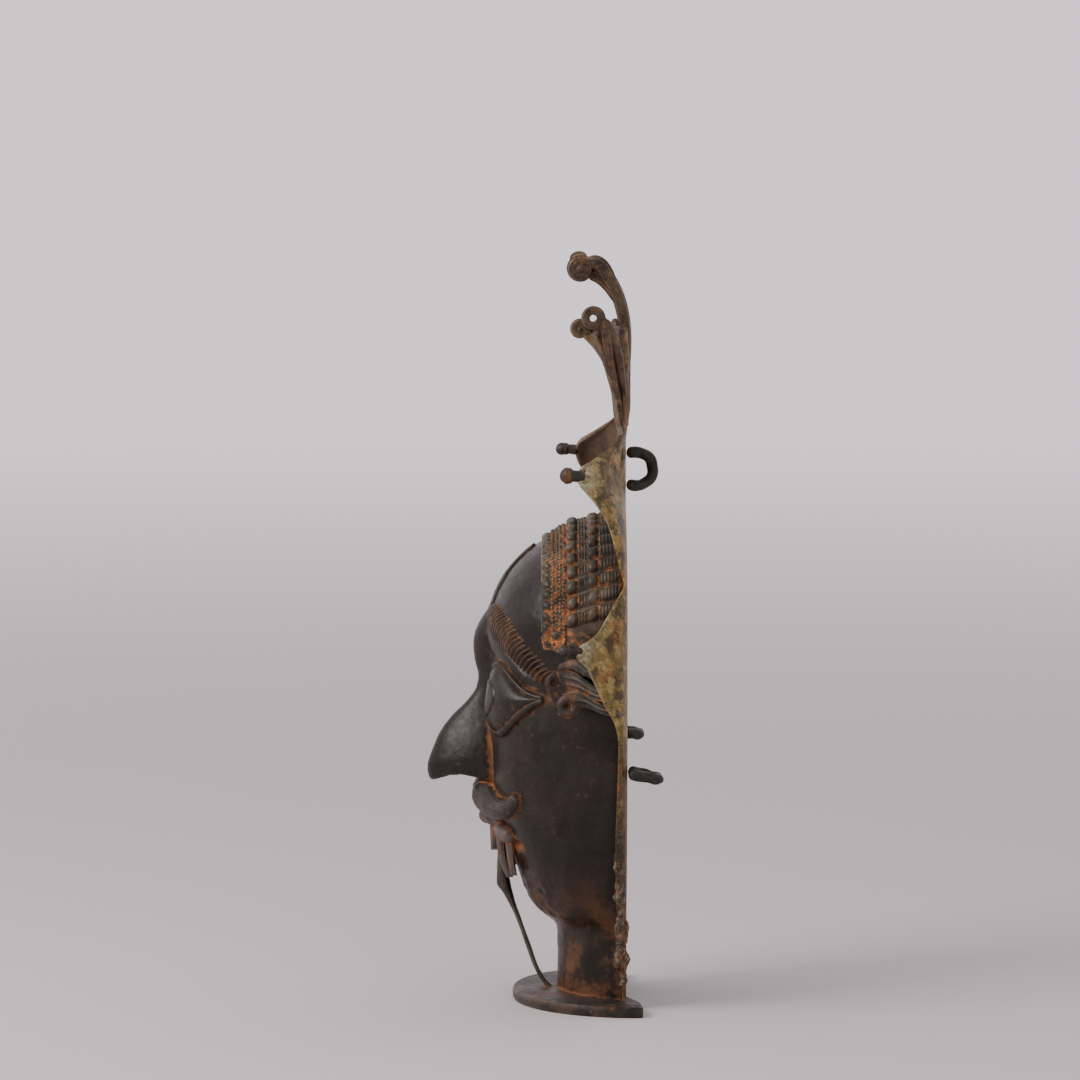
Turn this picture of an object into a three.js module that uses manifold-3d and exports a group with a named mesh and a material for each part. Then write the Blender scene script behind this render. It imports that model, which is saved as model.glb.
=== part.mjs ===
// A cast bronze bhuta mask on its own half-round foot: an open-backed head with a beaked nose, staring
// eyes, a moustache and a lolling tongue, a ribbed crown, and a dished frame that rises in curled petals
// to a crest of three scrolled fronds. A bent stay props the tongue on the foot, and three bars bent
// into loops stand on the back. Millimetres, +Z up, the face looks along -Y, +X is the face's own left.
import * as THREE from 'three';
import { mergeVertices } from 'three/addons/utils/BufferGeometryUtils.js';
import Module from 'manifold-3d';

const wasm = await Module();
wasm.setup();

// The origin is under the middle of the foot. Depth is measured forward from the mask's flat back.
const BACK_Y = 35;
const WALL = 4;
const SHEET = 3;
const RIM_RECESS = 0.5;
const TOUCH_GAP = 0.3;
// Edges shorter than this are folded away.
const SLIVER = 1.35;

// The foot: a half-round plate with ears that sweep back past the neck.
const FOOT = { thickness: 8, radius: 90, centreDepth: -5, notchDepth: 1, notchHalf: 36 };
// How deep the foot's ears lie on the face's left and right.
const EAR_DEPTHS = [-12, -1];

// The cranium is an ellipsoid about the temple line.
const TEMPLE_Z = 280;
const CRANIUM = { halfWidth: 90, depth: 102, height: 84 };
// The crown of ribs covers the cranium above this slope, so it needs no rows of its own there.
const UNDER_CROWN_TILT = 62;

// Below the temples: height, half width, depth at the middle and fullness of the cross-section.
const FACE_STATIONS = [
  [0, 56, 51.2, 1.7],
  [30, 55, 51.2, 1.7],
  [54, 55, 51.5, 1.75],
  [60, 56, 55, 1.8],
  [66, 58, 63.5, 1.85],
  [75, 61.5, 71.5, 1.95],
  [83, 65, 75.2, 2.0],
  [94, 70, 79.5, 2.1],
  [112, 77, 85, 2.2],
  [132, 82, 92, 2.3],
  [152, 86, 99, 2.35],
  [176, 88.5, 103, 2.35],
  [206, 90, 103, 2.25],
  [240, 90, 101, 2.05],
  [262, 90, 102, 2.0],
  [TEMPLE_Z, CRANIUM.halfWidth, CRANIUM.depth, 2.0],
];
// Levels at which the face's solids are drawn, closest round the chin.
const FACE_LEVELS = [258, 236, 212, 188, 164, 138, 112, 94, 83, 75, 66, 60, 54];

// The nose with the knot between the brows: height, depth of the ridge, half width.
const NOSE_STATIONS = [
  [301, 98, 8],
  [293, 105, 13],
  [284, 110.5, 17],
  [275, 114, 18],
  [266, 114.6, 16],
  [256, 113.5, 13],
  [245, 111, 11.5],
  [236, 112.5, 12],
  [226, 119, 14],
  [214, 130.5, 17],
  [203, 139, 21],
  [190, 145, 25],
  [177, 149.2, 27],
  [169, 148.8, 27],
  [164.5, 145.5, 25],
];
const NOSTRIL = { x: 12, depth: 124, z: 167, radii: [5.5, 11, 5] };

// One eye: a ball sunk in the head, a lid above and a heavier lid below, and the disc of its iris.
const EYE = { x: 38, depth: 75, z: 235, radius: 26.5, irisDepth: 101, irisRadius: 13 };
const UPPER_LID = [[13, 230], [19, 246], [32, 257], [47, 250.5], [57, 243], [65, 237.5], [72.8, 235.5]];
const LOWER_LID = [[13, 222], [20, 212], [34, 206], [50, 208.6], [60.5, 221], [73, 234]];

// One brow: its smooth lower lip and its upper edge in the front view, and the cords it is cut into.
const BROW_LIP = [[8, 283], [18, 270], [36, 262.5], [48, 256], [57, 249.5], [71, 241]];
const BROW_TOP = [[9, 300], [24, 300.5], [46, 291.5], [60, 277], [71, 264], [75, 256]];
const BROW = { cords: 14, proud: 4.2, groove: 1.8 };

// Two bars down the middle of the forehead: heights of their ends, half width and how proud.
const FOREHEAD_BARS = [
  { top: 341, bottom: 318.5, half: 5, proud: 2 },
  { top: 321, bottom: 300, half: 7.5, proud: 2.2 },
];

// The crown's ribs, laid front to back over the cranium and turned like spindles.
// Depth along a rib and its height over the cranium: bead, fine rings as one neck, bead, plain tail.
const RIBS = {
  count: 19,
  spread: 169,
  profile: [[44.5, 1], [43, 5.6], [35.5, 6], [30, 4.6], [24, 6], [17, 4.8], [2, 5]],
};
const BEADS = { count: 27, spread: 188, profile: [[62.8, -0.5], [59.2, 4.2], [55.4, 1.5]] };
const PEARL_BAND = { spread: 186, profile: [[56.5, 2.4], [45, 2.7]] };

// The frame round the head, from the neck to the crest: half width, height and how far it stands forward.
const FRAME_EDGE = [
  [59.5, 7, 3.2],
  [60.5, 28, 3.6],
  [64, 46, 4.6],
  [74, 66, 6.5],
  [88, 95, 8.5],
  [99, 130, 9],
  [107, 168, 8],
  [111, 204, 7],
  [113, 218, 9],
  [114, 228, 13.5],
  [115, 237, 18.5],
  [116, 247, 23],
  [117, 255, 26.8],
  [117.5, 262, 30],
  [118, 267, 35],
  [117.5, 272, 38],
  [116, 278, 36.5],
  [113.5, 284, 27.5],
  [112, 289.5, 21.3],
  [111, 296, 17.8],
  [109.5, 303, 13.8],
  [106.5, 313, 8],
  [103.5, 323, 3.2],
  [99, 334, 6],
  [95.5, 350, 10],
  [92, 365, 14.5],
  [90, 374, 19.5],
  [88, 382, 25],
  [86, 389, 31],
  [83.5, 395, 35.8],
  [80, 401, 37.5],
  [75, 406.5, 35],
  [66, 411, 27],
  [55, 416, 18.5],
  [43, 422, 9.5],
  [34, 428, 3.5],
];
// Entry of FRAME_EDGE whose line across the dish runs to the top of the cranium, not to its side.
const CROWN_TOP_ENTRY = 32;
const FRAME_COLUMNS = 35;
const FRAME_ROWS = 3;
// The top petal on the face's right stands higher than its partner, as the hand-made wax left it.
const RIGHT_PETAL_LIFT = 14;
const EAR_KNOB = { x: 115, depth: 48, z: 275.5, radius: 4, stem: 3.4 };
const LEFT_TOP_KNOB = { x: 80, depth: 47, z: 400.6, radius: 6.2, stem: 4.4 };
const RIGHT_TOP_KNOB = { x: 80, depth: 49.4, z: 409.4, radius: 4.8, stem: 4 };

// The ear: two scrolls behind the eye, each tied to the frame by a leaf.
const EAR_SCROLLS = [
  { x: 75.5, depth: 54, z: 248, major: 4.6, minor: 2.9, leaf: [99, 31, 258], leafHalf: 6 },
  { x: 82.5, depth: 45.5, z: 232, major: 5.6, minor: 3.2, leaf: [105, 18, 230], leafHalf: 5 },
];

// The crest: a fluted sheet whose sides turn forward, three fronds, and each frond's rolled tip.
const CREST = { bottom: 404, top: 503, thickness: 3.5, flutes: 3, fluteDepth: 2.2, leanBack: 3.5 };
// Height, half width and how far the sides stand forward.
const CREST_STATIONS = [
  [404, 44, 2],
  [425, 31, 3],
  [440, 25, 8.5],
  [465, 26, 12.5],
  [485, 32, 19],
  [503, 39, 27],
];
// A frond is a ribbon: its spine, its half thickness and how many times wider it is, and its rolled end.
const MIDDLE_FROND = {
  spine: [[0, 1, 465], [0, 0.3, 495], [0, 2, 514], [0, 6, 529], [0, 12.5, 542], [0, 20, 552.5]],
  half: 4.6,
  flatness: 2.6,
  roll: { x: 0, depth: 34, z: 550, radius: 6.4, from: 50, to: 400 },
};
const LEFT_FROND = {
  spine: [[24, 7, 455], [28, 11, 474], [34, 14, 491], [38.5, 16, 504]],
  half: 3,
  flatness: 1.25,
  roll: { x: 40, depth: 25, z: 513.5, radius: 6.2, from: 5, to: 345 },
};
const RIGHT_FROND = {
  spine: [[-24, 7, 452], [-29, 10.5, 468], [-33, 14.5, 481], [-36, 21, 491]],
  half: 3.6,
  flatness: 1.6,
  roll: { x: -38, depth: 34, z: 503, radius: 4.2, from: -20, to: 320 },
};
const LEAF_TIPS = [
  { x: 14, depth: 3, z: 500, lean: 6, rise: 12 },
  { x: 27, depth: 9, z: 500, lean: 7, rise: 11 },
];
// The short leaf that carries the middle frond's roll from below.
const UNDER_LEAF = { line: [[0, 5, 524], [0, 14, 538], [0, 28, 546]], radii: [3, 4.4, 3.6] };

// The mouth: one moustache lobe a side, a row of teeth, the lower lip, the tongue and its beard locks.
const MOUSTACHE = {
  line: [[5, 104, 161], [15, 104, 157], [29, 98.5, 151.5], [46, 91.5, 149.5], [57, 85, 154], [60.5, 81.5, 162.5]],
  radii: [8, 12, 11, 8.5, 6, 4.4],
};
const TEETH = {
  count: 6,
  halfRow: 18,
  root: 90,
  depth: 110.5,
  top: 144,
  bottom: 133.5,
  bow: 0.022,
  gap: 1.8,
};
const LOWER_LIP = {
  line: [[0, 94, 131], [15, 93, 130.5], [28, 89.5, 129], [37, 85, 126]],
  radii: [5.5, 6, 6, 6.2],
};
const TONGUE = { half: 7.5, top: [99, 138], bottom: [98.8, 112.2], thick: 4.5 };
const LOCK = { inner: 8.5, outer: 22, top: [90, 134], bottom: [86.3, 93], thickTop: 10, thickBottom: 6 };

// The stay: depth, height, half width and thickness along the strip, from its foot to its leaf-shaped head.
const STAY_LINE = [
  [55, 0, 4.5, 4.5],
  [57.5, 8, 4.5, 5],
  [62, 14, 4.5, 4],
  [67.6, 24, 4.5, 3.6],
  [73, 39.4, 4.5, 3.8],
  [77.7, 52.5, 4.8, 3.5],
  [81.2, 62.3, 5, 3.9],
  [84.5, 70, 5.3, 4.8],
  [88.6, 80, 5.9, 7.4],
  [91.4, 86, 6.4, 10.3],
  [92.5, 95, 6.4, 8.2],
  [93.7, 103.4, 5.8, 5.4],
  [94.5, 109.5, 5, 3],
];

// The three bars bent into loops on the back.
const TOP_LOOP = { low: 388, high: 412, reach: 19, bar: 4.2 };
const SIDE_LOOP = { x: 97, spread: 7.4, bar: 4.1 };
const LEFT_LOOP = { reach: 21.5, z: 184, droop: 4.5 };
const RIGHT_LOOP = { reach: 11.5, z: 189.5, droop: 1.5 };

const metal = (color, roughness) => new THREE.MeshStandardMaterial({ color, roughness, metalness: 1 });
const DARK_BRONZE = metal(0x4a3a30, 0.45);
const WORN_BRONZE = metal(0x3b332c, 0.4);
const GREEN_BRONZE = metal(0x3a4034, 0.6);

const point = (x, depth, z) => new THREE.Vector3(x, BACK_Y - depth, z);
const points = (rows) => rows.map((row) => point(...row));
const radians = THREE.MathUtils.degToRad;
const mix = THREE.MathUtils.lerp;

// Value of `column` at `key` in column 0, on a smooth curve through the stations with no overshoot.
function through(stations, key, column) {
  const rising = stations[0][0] < stations[stations.length - 1][0];
  const last = stations.length - 2;
  let i = stations.findIndex((row, n) => n > 0 && (rising ? key <= row[0] : key >= row[0])) - 1;
  if (i < 0) i = last;
  const slope = (a, b) => (stations[b][column] - stations[a][column]) / (stations[b][0] - stations[a][0]);
  const here = slope(i, i + 1);
  const before = i > 0 ? slope(i - 1, i) : here;
  const after = i < last ? slope(i + 1, i + 2) : here;
  const ease = (a, b) => (a * b <= 0 ? 0 : (2 * a * b) / (a + b));
  const span = stations[i + 1][0] - stations[i][0];
  const t = THREE.MathUtils.clamp((key - stations[i][0]) / span, 0, 1);
  const t2 = t * t;
  const t3 = t2 * t;
  return (
    (2 * t3 - 3 * t2 + 1) * stations[i][column] +
    (t3 - 2 * t2 + t) * span * ease(before, here) +
    (3 * t2 - 2 * t3) * stations[i + 1][column] +
    (t3 - t2) * span * ease(here, after)
  );
}

function flipped(geometry) {
  const index = geometry.index.array;
  for (let i = 0; i < index.length; i += 3) [index[i], index[i + 1]] = [index[i + 1], index[i]];
  return geometry;
}

// A closed solid from a three.js geometry, turned right side out.
function toSolid(geometry) {
  const bare = geometry.clone();
  for (const name of Object.keys(bare.attributes)) if (name !== 'position') bare.deleteAttribute(name);
  const merged = mergeVertices(bare, 1e-4);
  const mesh = new wasm.Mesh({
    numProp: 3,
    vertProperties: new Float32Array(merged.attributes.position.array),
    triVerts: new Uint32Array(merged.index.array),
  });
  const solid = new wasm.Manifold(mesh);
  return solid.volume() < 0 ? toSolid(flipped(merged)) : solid;
}

// Folds each edge shorter than `least` into one of its ends, where the surface stays closed and unfolded.
function withoutSlivers({ vertProperties, triVerts }, least) {
  const place = (v) => new THREE.Vector3().fromArray(vertProperties, 3 * v);
  const leastHeight = 0.05;
  const leastAgreement = 0.8;
  const corners = (i) => [...triVerts.slice(3 * i, 3 * i + 3)];
  const faces = Array.from({ length: triVerts.length / 3 }, (_, i) => corners(i));
  const around = Array.from({ length: vertProperties.length / 3 }, () => new Set());
  faces.forEach((face, i) => face.forEach((v) => around[v].add(i)));
  const neighbours = (v) => new Set([...around[v]].flatMap((i) => faces[i]).filter((n) => n !== v));
  const facing = (face) => {
    const [a, b, c] = face.map(place);
    return b.sub(a).cross(c.sub(a)).normalize();
  };
  const canFold = (gone, kept) => {
    const common = [...neighbours(gone)].filter((n) => neighbours(kept).has(n));
    if (common.length !== 2) return false;
    return [...around[gone]].every((i) => {
      if (faces[i].includes(kept)) return true;
      const moved = faces[i].map((v) => (v === gone ? kept : v));
      const [a, b, c] = moved.map(place);
      const longest = Math.max(a.distanceTo(b), b.distanceTo(c), c.distanceTo(a));
      const height = b.sub(a).cross(c.sub(a)).length() / longest;
      return height > leastHeight && facing(faces[i]).dot(facing(moved)) > leastAgreement;
    });
  };
  const fold = (gone, kept) => {
    for (const i of [...around[gone]]) {
      if (faces[i].includes(kept)) {
        faces[i].forEach((v) => around[v].delete(i));
        faces[i] = null;
      } else {
        faces[i] = faces[i].map((v) => (v === gone ? kept : v));
        around[kept].add(i);
      }
    }
    around[gone].clear();
  };
  for (const limit of [least / 3, least, least]) {
    for (let i = 0; i < faces.length; i += 1) {
      for (let k = 0; faces[i] && k < 3; k += 1) {
        const a = faces[i][k];
        const b = faces[i][(k + 1) % 3];
        if (place(a).distanceTo(place(b)) < limit) {
          if (canFold(a, b)) fold(a, b);
          else if (canFold(b, a)) fold(b, a);
        }
      }
    }
  }
  return faces.filter((face) => face).flat();
}

function toMesh(solid, name, material) {
  const skin = solid.getMesh();
  const geometry = new THREE.BufferGeometry();
  geometry.setAttribute('position', new THREE.BufferAttribute(new Float32Array(skin.vertProperties), 3));
  geometry.setIndex(withoutSlivers(skin, SLIVER));
  geometry.computeVertexNormals();
  const mesh = new THREE.Mesh(geometry, material);
  mesh.name = name;
  return mesh;
}

function warp(geometry, place) {
  const position = geometry.attributes.position;
  const p = new THREE.Vector3();
  for (let i = 0; i < position.count; i += 1) {
    p.fromBufferAttribute(position, i);
    const q = place(p);
    position.setXYZ(i, q.x, q.y, q.z);
  }
  return geometry;
}

// A block whose three sides run 0 to 1, bent by `place(u, v, w)`.
function block(nu, nv, place) {
  const box = new THREE.BoxGeometry(1, 1, 1, nu, nv, 1);
  return toSolid(warp(box, (p) => place(p.x + 0.5, p.y + 0.5, p.z + 0.5)));
}

// A grid bent by `place(u, v)` and closed behind by a flat fan about `hub`.
function dome(nu, nv, place, hub) {
  const grid = warp(new THREE.PlaneGeometry(1, 1, nu, nv), (p) => place(p.x + 0.5, 0.5 - p.y));
  const border = [];
  for (let i = 0; i < nu; i += 1) border.push(i);
  for (let j = 0; j < nv; j += 1) border.push(j * (nu + 1) + nu);
  for (let i = nu; i > 0; i -= 1) border.push(nv * (nu + 1) + i);
  for (let j = nv; j > 0; j -= 1) border.push(j * (nu + 1));
  const places = [...grid.attributes.position.array, hub.x, hub.y, hub.z];
  const centre = places.length / 3 - 1;
  const fan = border.flatMap((corner, i) => [corner, border[(i + 1) % border.length], centre]);
  const closed = new THREE.BufferGeometry();
  closed.setAttribute('position', new THREE.Float32BufferAttribute(places, 3));
  closed.setIndex([...grid.index.array, ...fan]);
  return toSolid(closed);
}

// A rod along a smooth curve, turned to `profile`, rows of a share of its length and a radius there.
// `wide` is the direction in which its section is `flatness` times wider than it is thick.
function rod(line, profile, { sides = 6, flatness = 1, wide = [1, 0, 0], trim = (p) => p } = {}) {
  const curve = new THREE.CatmullRomCurve3(line, false, 'centripetal');
  const rings = profile.length - 1;
  const cylinder = new THREE.CylinderGeometry(1, 1, 1, sides, rings);
  return toSolid(
    warp(cylinder, (p) => {
      const [share, radius] = profile[Math.round((p.y + 0.5) * rings)];
      const along = curve.getTangentAt(share);
      const across = new THREE.Vector3(...wide).projectOnPlane(along).normalize();
      const thick = new THREE.Vector3().crossVectors(along, across);
      const q = curve.getPointAt(share).addScaledVector(across, p.x * radius * flatness);
      return trim(q.addScaledVector(thick, p.z * radius));
    }),
  );
}

// Radii spread evenly along a rod, with `steps` rings.
function evenly(radii, steps) {
  const rows = radii.map((radius, i) => [i / (radii.length - 1), radius]);
  return Array.from({ length: steps + 1 }, (_, i) => [i / steps, through(rows, i / steps, 1)]);
}

function ball(centre, radii, across = 8, down = 5) {
  const sphere = new THREE.SphereGeometry(1, across, down);
  sphere.scale(radii[0], radii[1], radii[2]);
  sphere.translate(centre.x, centre.y, centre.z);
  return toSolid(sphere);
}

// A ring about an axis along X.
function ring(centre, major, minor, tubeSides = 6, steps = 10) {
  const torus = new THREE.TorusGeometry(major, minor, tubeSides, steps);
  torus.rotateY(Math.PI / 2);
  torus.translate(centre.x, centre.y, centre.z);
  return toSolid(torus);
}

const join = (solids) => solids.reduce((a, b) => a.add(b));
const bothSides = (solids) => solids.flatMap((solid) => [solid, solid.mirror([1, 0, 0])]);

// Depth of the bare head at a place in the front view.
function headDepth(x, z) {
  if (z >= TEMPLE_Z) {
    const rest = 1 - (x / CRANIUM.halfWidth) ** 2 - ((z - TEMPLE_Z) / CRANIUM.height) ** 2;
    return CRANIUM.depth * Math.sqrt(Math.max(rest, 0));
  }
  const width = through(FACE_STATIONS, z, 1);
  const depth = through(FACE_STATIONS, z, 2);
  const fullness = through(FACE_STATIONS, z, 3);
  return depth * Math.max(1 - Math.abs(x / width) ** fullness, 0) ** (1 / fullness);
}

// A point `lift` above the bare head's skin.
function onHead(x, z, lift) {
  const step = 0.5;
  const slopeX = (headDepth(x + step, z) - headDepth(x - step, z)) / (2 * step);
  const slopeZ = (headDepth(x, z + step) - headDepth(x, z - step)) / (2 * step);
  const outward = new THREE.Vector3(-slopeX, -1, -slopeZ).normalize();
  return point(x, headDepth(x, z), z).addScaledVector(outward, lift);
}

// The bare head, from the top of the crown down the face to `bottom`, drawn in by `shrink`.
function headSolid(shrink, bottom, backDepth, across, crownRows) {
  const levels = [TEMPLE_Z, ...FACE_LEVELS, bottom + 0.05, bottom];
  const rows = crownRows + levels.length - 1;
  const slanted = 0.7 * shrink;
  const hub = point(0, backDepth, TEMPLE_Z / 2);
  return dome(across, rows, (u, v) => {
    const turn = radians(mix(-90, 90, u));
    const row = Math.round(v * rows);
    const border = u === 0 || u === 1 || row === 0 || row === rows;
    let x;
    let depth;
    let z;
    if (row <= crownRows) {
      const tilt = row === 0 ? Math.PI / 2 : radians(mix(UNDER_CROWN_TILT, 0, (row - 1) / (crownRows - 1)));
      const long = CRANIUM.depth - shrink;
      const tall = CRANIUM.height - shrink;
      const reach = 1 / Math.hypot(Math.cos(tilt) / long, Math.sin(tilt) / tall);
      x = (CRANIUM.halfWidth - shrink) * Math.sin(turn);
      depth = reach * Math.cos(turn) * Math.cos(tilt);
      z = TEMPLE_Z + reach * Math.cos(turn) * Math.sin(tilt);
      if (border && row > 0) z = TEMPLE_Z - 0.05 * row;
    } else {
      z = levels[row - crownRows];
      const skinZ = z - slanted;
      const fullness = through(FACE_STATIONS, skinZ, 3);
      const round = Math.abs(Math.sin(turn));
      x = (through(FACE_STATIONS, z, 1) - shrink) * round * Math.sign(turn);
      const bulge = Math.max(1 - round ** fullness, 0) ** (1 / fullness);
      depth = (through(FACE_STATIONS, skinZ, 2) - slanted) * bulge;
    }
    return point(x, border ? backDepth : depth, z);
  }, hub);
}

// The nose, or with a shrink the hollow behind it.
function noseSolid(shrink, across, rows) {
  const top = NOSE_STATIONS[0][0] - 3 * shrink;
  const bottom = NOSE_STATIONS[NOSE_STATIONS.length - 1][0] + shrink;
  const root = 70;
  const arch = { lift: 5.5, from: 146, length: 34 };
  return block(across, rows, (u, v, w) => {
    const z = mix(top, bottom, v);
    const side = 2 * u - 1;
    const x = (through(NOSE_STATIONS, z, 2) - shrink) * side;
    const ridge = through(NOSE_STATIONS, z, 1) - shrink;
    const skin = headDepth(x, z) - 1.5;
    const rise = (1 - Math.abs(side) ** 1.8) ** 0.85;
    const depth = w < 0.5 ? root : mix(Math.min(skin, ridge), ridge, rise);
    const back = THREE.MathUtils.clamp((arch.from - depth) / arch.length, 0, 1);
    return point(x, depth, z + arch.lift * v ** 6 * Math.sin(Math.PI * back));
  });
}

// A raised band between two edges drawn in the front view, `proud(u, v)` above the skin.
function band(low, high, nu, nv, proud) {
  const curve = (rows) => new THREE.SplineCurve(rows.map((row) => new THREE.Vector2(...row)));
  const lower = curve(low);
  const upper = curve(high);
  const sunk = -3;
  return block(nu, nv, (u, v, w) => {
    const p = lower.getPoint(u).lerp(upper.getPoint(u), v);
    return onHead(p.x, p.y, w < 0.5 ? sunk : proud(u, v));
  });
}

function brow() {
  const { cords, proud, groove } = BROW;
  return band(BROW_LIP, BROW_TOP, 2 * cords, 1, (u, v) => {
    const between = Math.round(u * 2 * cords) % 2;
    const ends = Math.min(1, 8 * u, 8 * (1 - u));
    return ends * (v === 0 ? proud : 0.7 * proud - between * groove);
  });
}

function foreheadBar({ top, bottom, half, proud }) {
  const low = [[-half, bottom], [0, bottom - 2], [half, bottom]];
  const high = [[-half, top], [0, top + 2], [half, top]];
  return band(low, high, 4, 2, (u) => proud * (0.6 + 0.4 * Math.sin(Math.PI * u)));
}

function lid(line, radii) {
  const lifted = line.map(([x, z]) => onHead(x, z, 1.2));
  return rod(lifted, evenly(radii, 7), { sides: 4, wide: [0, 1, 0] });
}

function eyeball(shrink) {
  const radius = EYE.radius - shrink;
  return ball(point(EYE.x, EYE.depth, EYE.z), [radius, radius, radius], 11, 8);
}

function iris() {
  const disc = new THREE.CylinderGeometry(EYE.irisRadius + 2, EYE.irisRadius, 8, 12, 1);
  const centre = point(EYE.x - 2, EYE.irisDepth, EYE.z - 1);
  disc.translate(centre.x, centre.y, centre.z);
  return toSolid(disc);
}

// A point over the cranium's section at `depth`, `angle` degrees round from the crown's top.
function onCrown(angle, depth, lift) {
  const rest = Math.sqrt(1 - (depth / CRANIUM.depth) ** 2);
  const a = radians(angle);
  const x = CRANIUM.halfWidth * rest * Math.sin(a);
  const rise = CRANIUM.height * rest * Math.cos(a);
  const outward = new THREE.Vector3(
    x / CRANIUM.halfWidth ** 2,
    -depth / CRANIUM.depth ** 2,
    rise / CRANIUM.height ** 2,
  ).normalize();
  return point(x, depth, TEMPLE_Z + rise).addScaledVector(outward, lift);
}

// A row of cords side by side over the cranium, with a valley between each two.
function cordedArch({ count, spread, profile }) {
  const sunk = -2;
  const valley = 0.12;
  return block(2 * count, profile.length - 1, (u, v, w) => {
    const between = Math.round(u * 2 * count) % 2 === 0;
    const [depth, height] = profile[Math.round(v * (profile.length - 1))];
    const angle = mix(-spread / 2, spread / 2, u);
    return onCrown(angle, depth, w < 0.5 ? sunk : height * (between ? valley : 1));
  });
}

function pearlBand() {
  const { spread, profile } = PEARL_BAND;
  const columns = 22;
  const sunk = -3;
  return block(columns, profile.length - 1, (u, v, w) => {
    const [depth, height] = profile[Math.round(v * (profile.length - 1))];
    return onCrown(mix(-spread / 2, spread / 2, u), depth, w < 0.5 ? sunk : height);
  });
}

const crownSolids = () => [cordedArch(RIBS), cordedArch(BEADS), pearlBand()];

// Where the dish leaves the head, across from an entry of its outer edge.
function frameInner(entry) {
  const [edgeX, edgeZ] = FRAME_EDGE[entry];
  if (entry > CROWN_TOP_ENTRY) {
    const share = (entry - CROWN_TOP_ENTRY) / (FRAME_EDGE.length - 1 - CROWN_TOP_ENTRY);
    return [0, mix(TEMPLE_Z + CRANIUM.height, CREST.bottom + 20, share)];
  }
  if (edgeZ > TEMPLE_Z) {
    const side = Math.atan2(edgeX / CRANIUM.halfWidth, (edgeZ - TEMPLE_Z) / CRANIUM.height);
    const [topX, topZ] = FRAME_EDGE[CROWN_TOP_ENTRY];
    const least = Math.atan2(topX / CRANIUM.halfWidth, (topZ - TEMPLE_Z) / CRANIUM.height);
    const angle = (Math.PI / 2) * ((side - least) / (Math.PI / 2 - least));
    const innerX = (CRANIUM.halfWidth - WALL / 2) * Math.sin(angle);
    return [innerX, TEMPLE_Z + (CRANIUM.height - WALL / 2) * Math.cos(angle)];
  }
  return [through(FACE_STATIONS, edgeZ, 1) - WALL / 2, edgeZ];
}

const FRAME_STATIONS = FRAME_EDGE.map((row, i) => [i, ...row, ...frameInner(i)]);

// The dish from the head (across 0) to its edge (across 1), turned forward like a quarter round.
function framePoint(along, across, side) {
  const key = along * (FRAME_EDGE.length - 1);
  const row = [1, 2, 3, 4, 5].map((column) => through(FRAME_STATIONS, key, column));
  const [edgeX, edgeZ, height, innerX, innerZ] = row;
  const lift = side < 0 ? RIGHT_PETAL_LIFT * THREE.MathUtils.smoothstep(edgeZ, 370, 425) * across : 0;
  const turn = (across * Math.PI) / 2;
  const out = Math.sin(turn) ** 0.8;
  const forward = 1 - Math.cos(turn) ** 0.8;
  return point(side * mix(innerX, edgeX, out), height * forward, mix(innerZ, edgeZ, out) + lift);
}

function frameHalf(side) {
  const step = 0.004;
  return block(FRAME_COLUMNS, FRAME_ROWS, (u, v, w) => {
    const p = framePoint(u, v, side);
    const du = framePoint(Math.min(u + step, 1), v, side).sub(framePoint(Math.max(u - step, 0), v, side));
    const dv = framePoint(u, Math.min(v + step, 1), side).sub(framePoint(u, Math.max(v - step, 0), side));
    const inward = new THREE.Vector3().crossVectors(du, dv).normalize();
    if (inward.y > 0) inward.negate();
    p.addScaledVector(inward, w * SHEET);
    p.y = Math.min(p.y, BACK_Y);
    return p;
  });
}

function knob({ x, depth, z, radius, stem }, side) {
  const root = [side * (x - 1), depth - 16, z - 1];
  const line = points([root, [side * x, depth - 6, z], [side * x, depth + 3, z]]);
  const rows = [[0, stem], [0.45, stem], [0.6, radius], [0.85, radius * 0.9], [1, radius * 0.4]];
  return rod(line, rows, { sides: 7 });
}

function earScroll({ x, depth, z, major, minor, leaf, leafHalf }) {
  const centre = point(x, depth, z);
  const start = [x + 1, depth - major, z + 1];
  const middle = [mix(x, leaf[0], 0.5) + 3, mix(depth, leaf[1], 0.5), mix(z, leaf[2], 0.5) + 1];
  const tieRows = [[0, minor], [0.4, leafHalf * 0.5], [1, leafHalf * 0.6]];
  const tie = rod(points([start, middle, leaf]), tieRows, { sides: 5, flatness: 1.6, wide: [0, 0, 1] });
  return join([ring(centre, major, minor, 5, 7), tie]);
}

function crestSheet() {
  const { bottom, top, thickness, flutes, fluteDepth, leanBack } = CREST;
  return block(4 * flutes, 5, (u, v, w) => {
    const z = mix(bottom, top, v);
    const side = 2 * u - 1;
    const wave = fluteDepth * (1 - Math.cos(Math.PI * 2 * flutes * Math.abs(side))) * 0.5 * v ** 0.5;
    const lean = leanBack * THREE.MathUtils.smoothstep(z, 418, 450);
    const turned = through(CREST_STATIONS, z, 2) * side ** 2 - lean;
    return point(through(CREST_STATIONS, z, 1) * side, turned + wave + (w < 0.5 ? 0 : thickness), z);
  });
}

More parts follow.
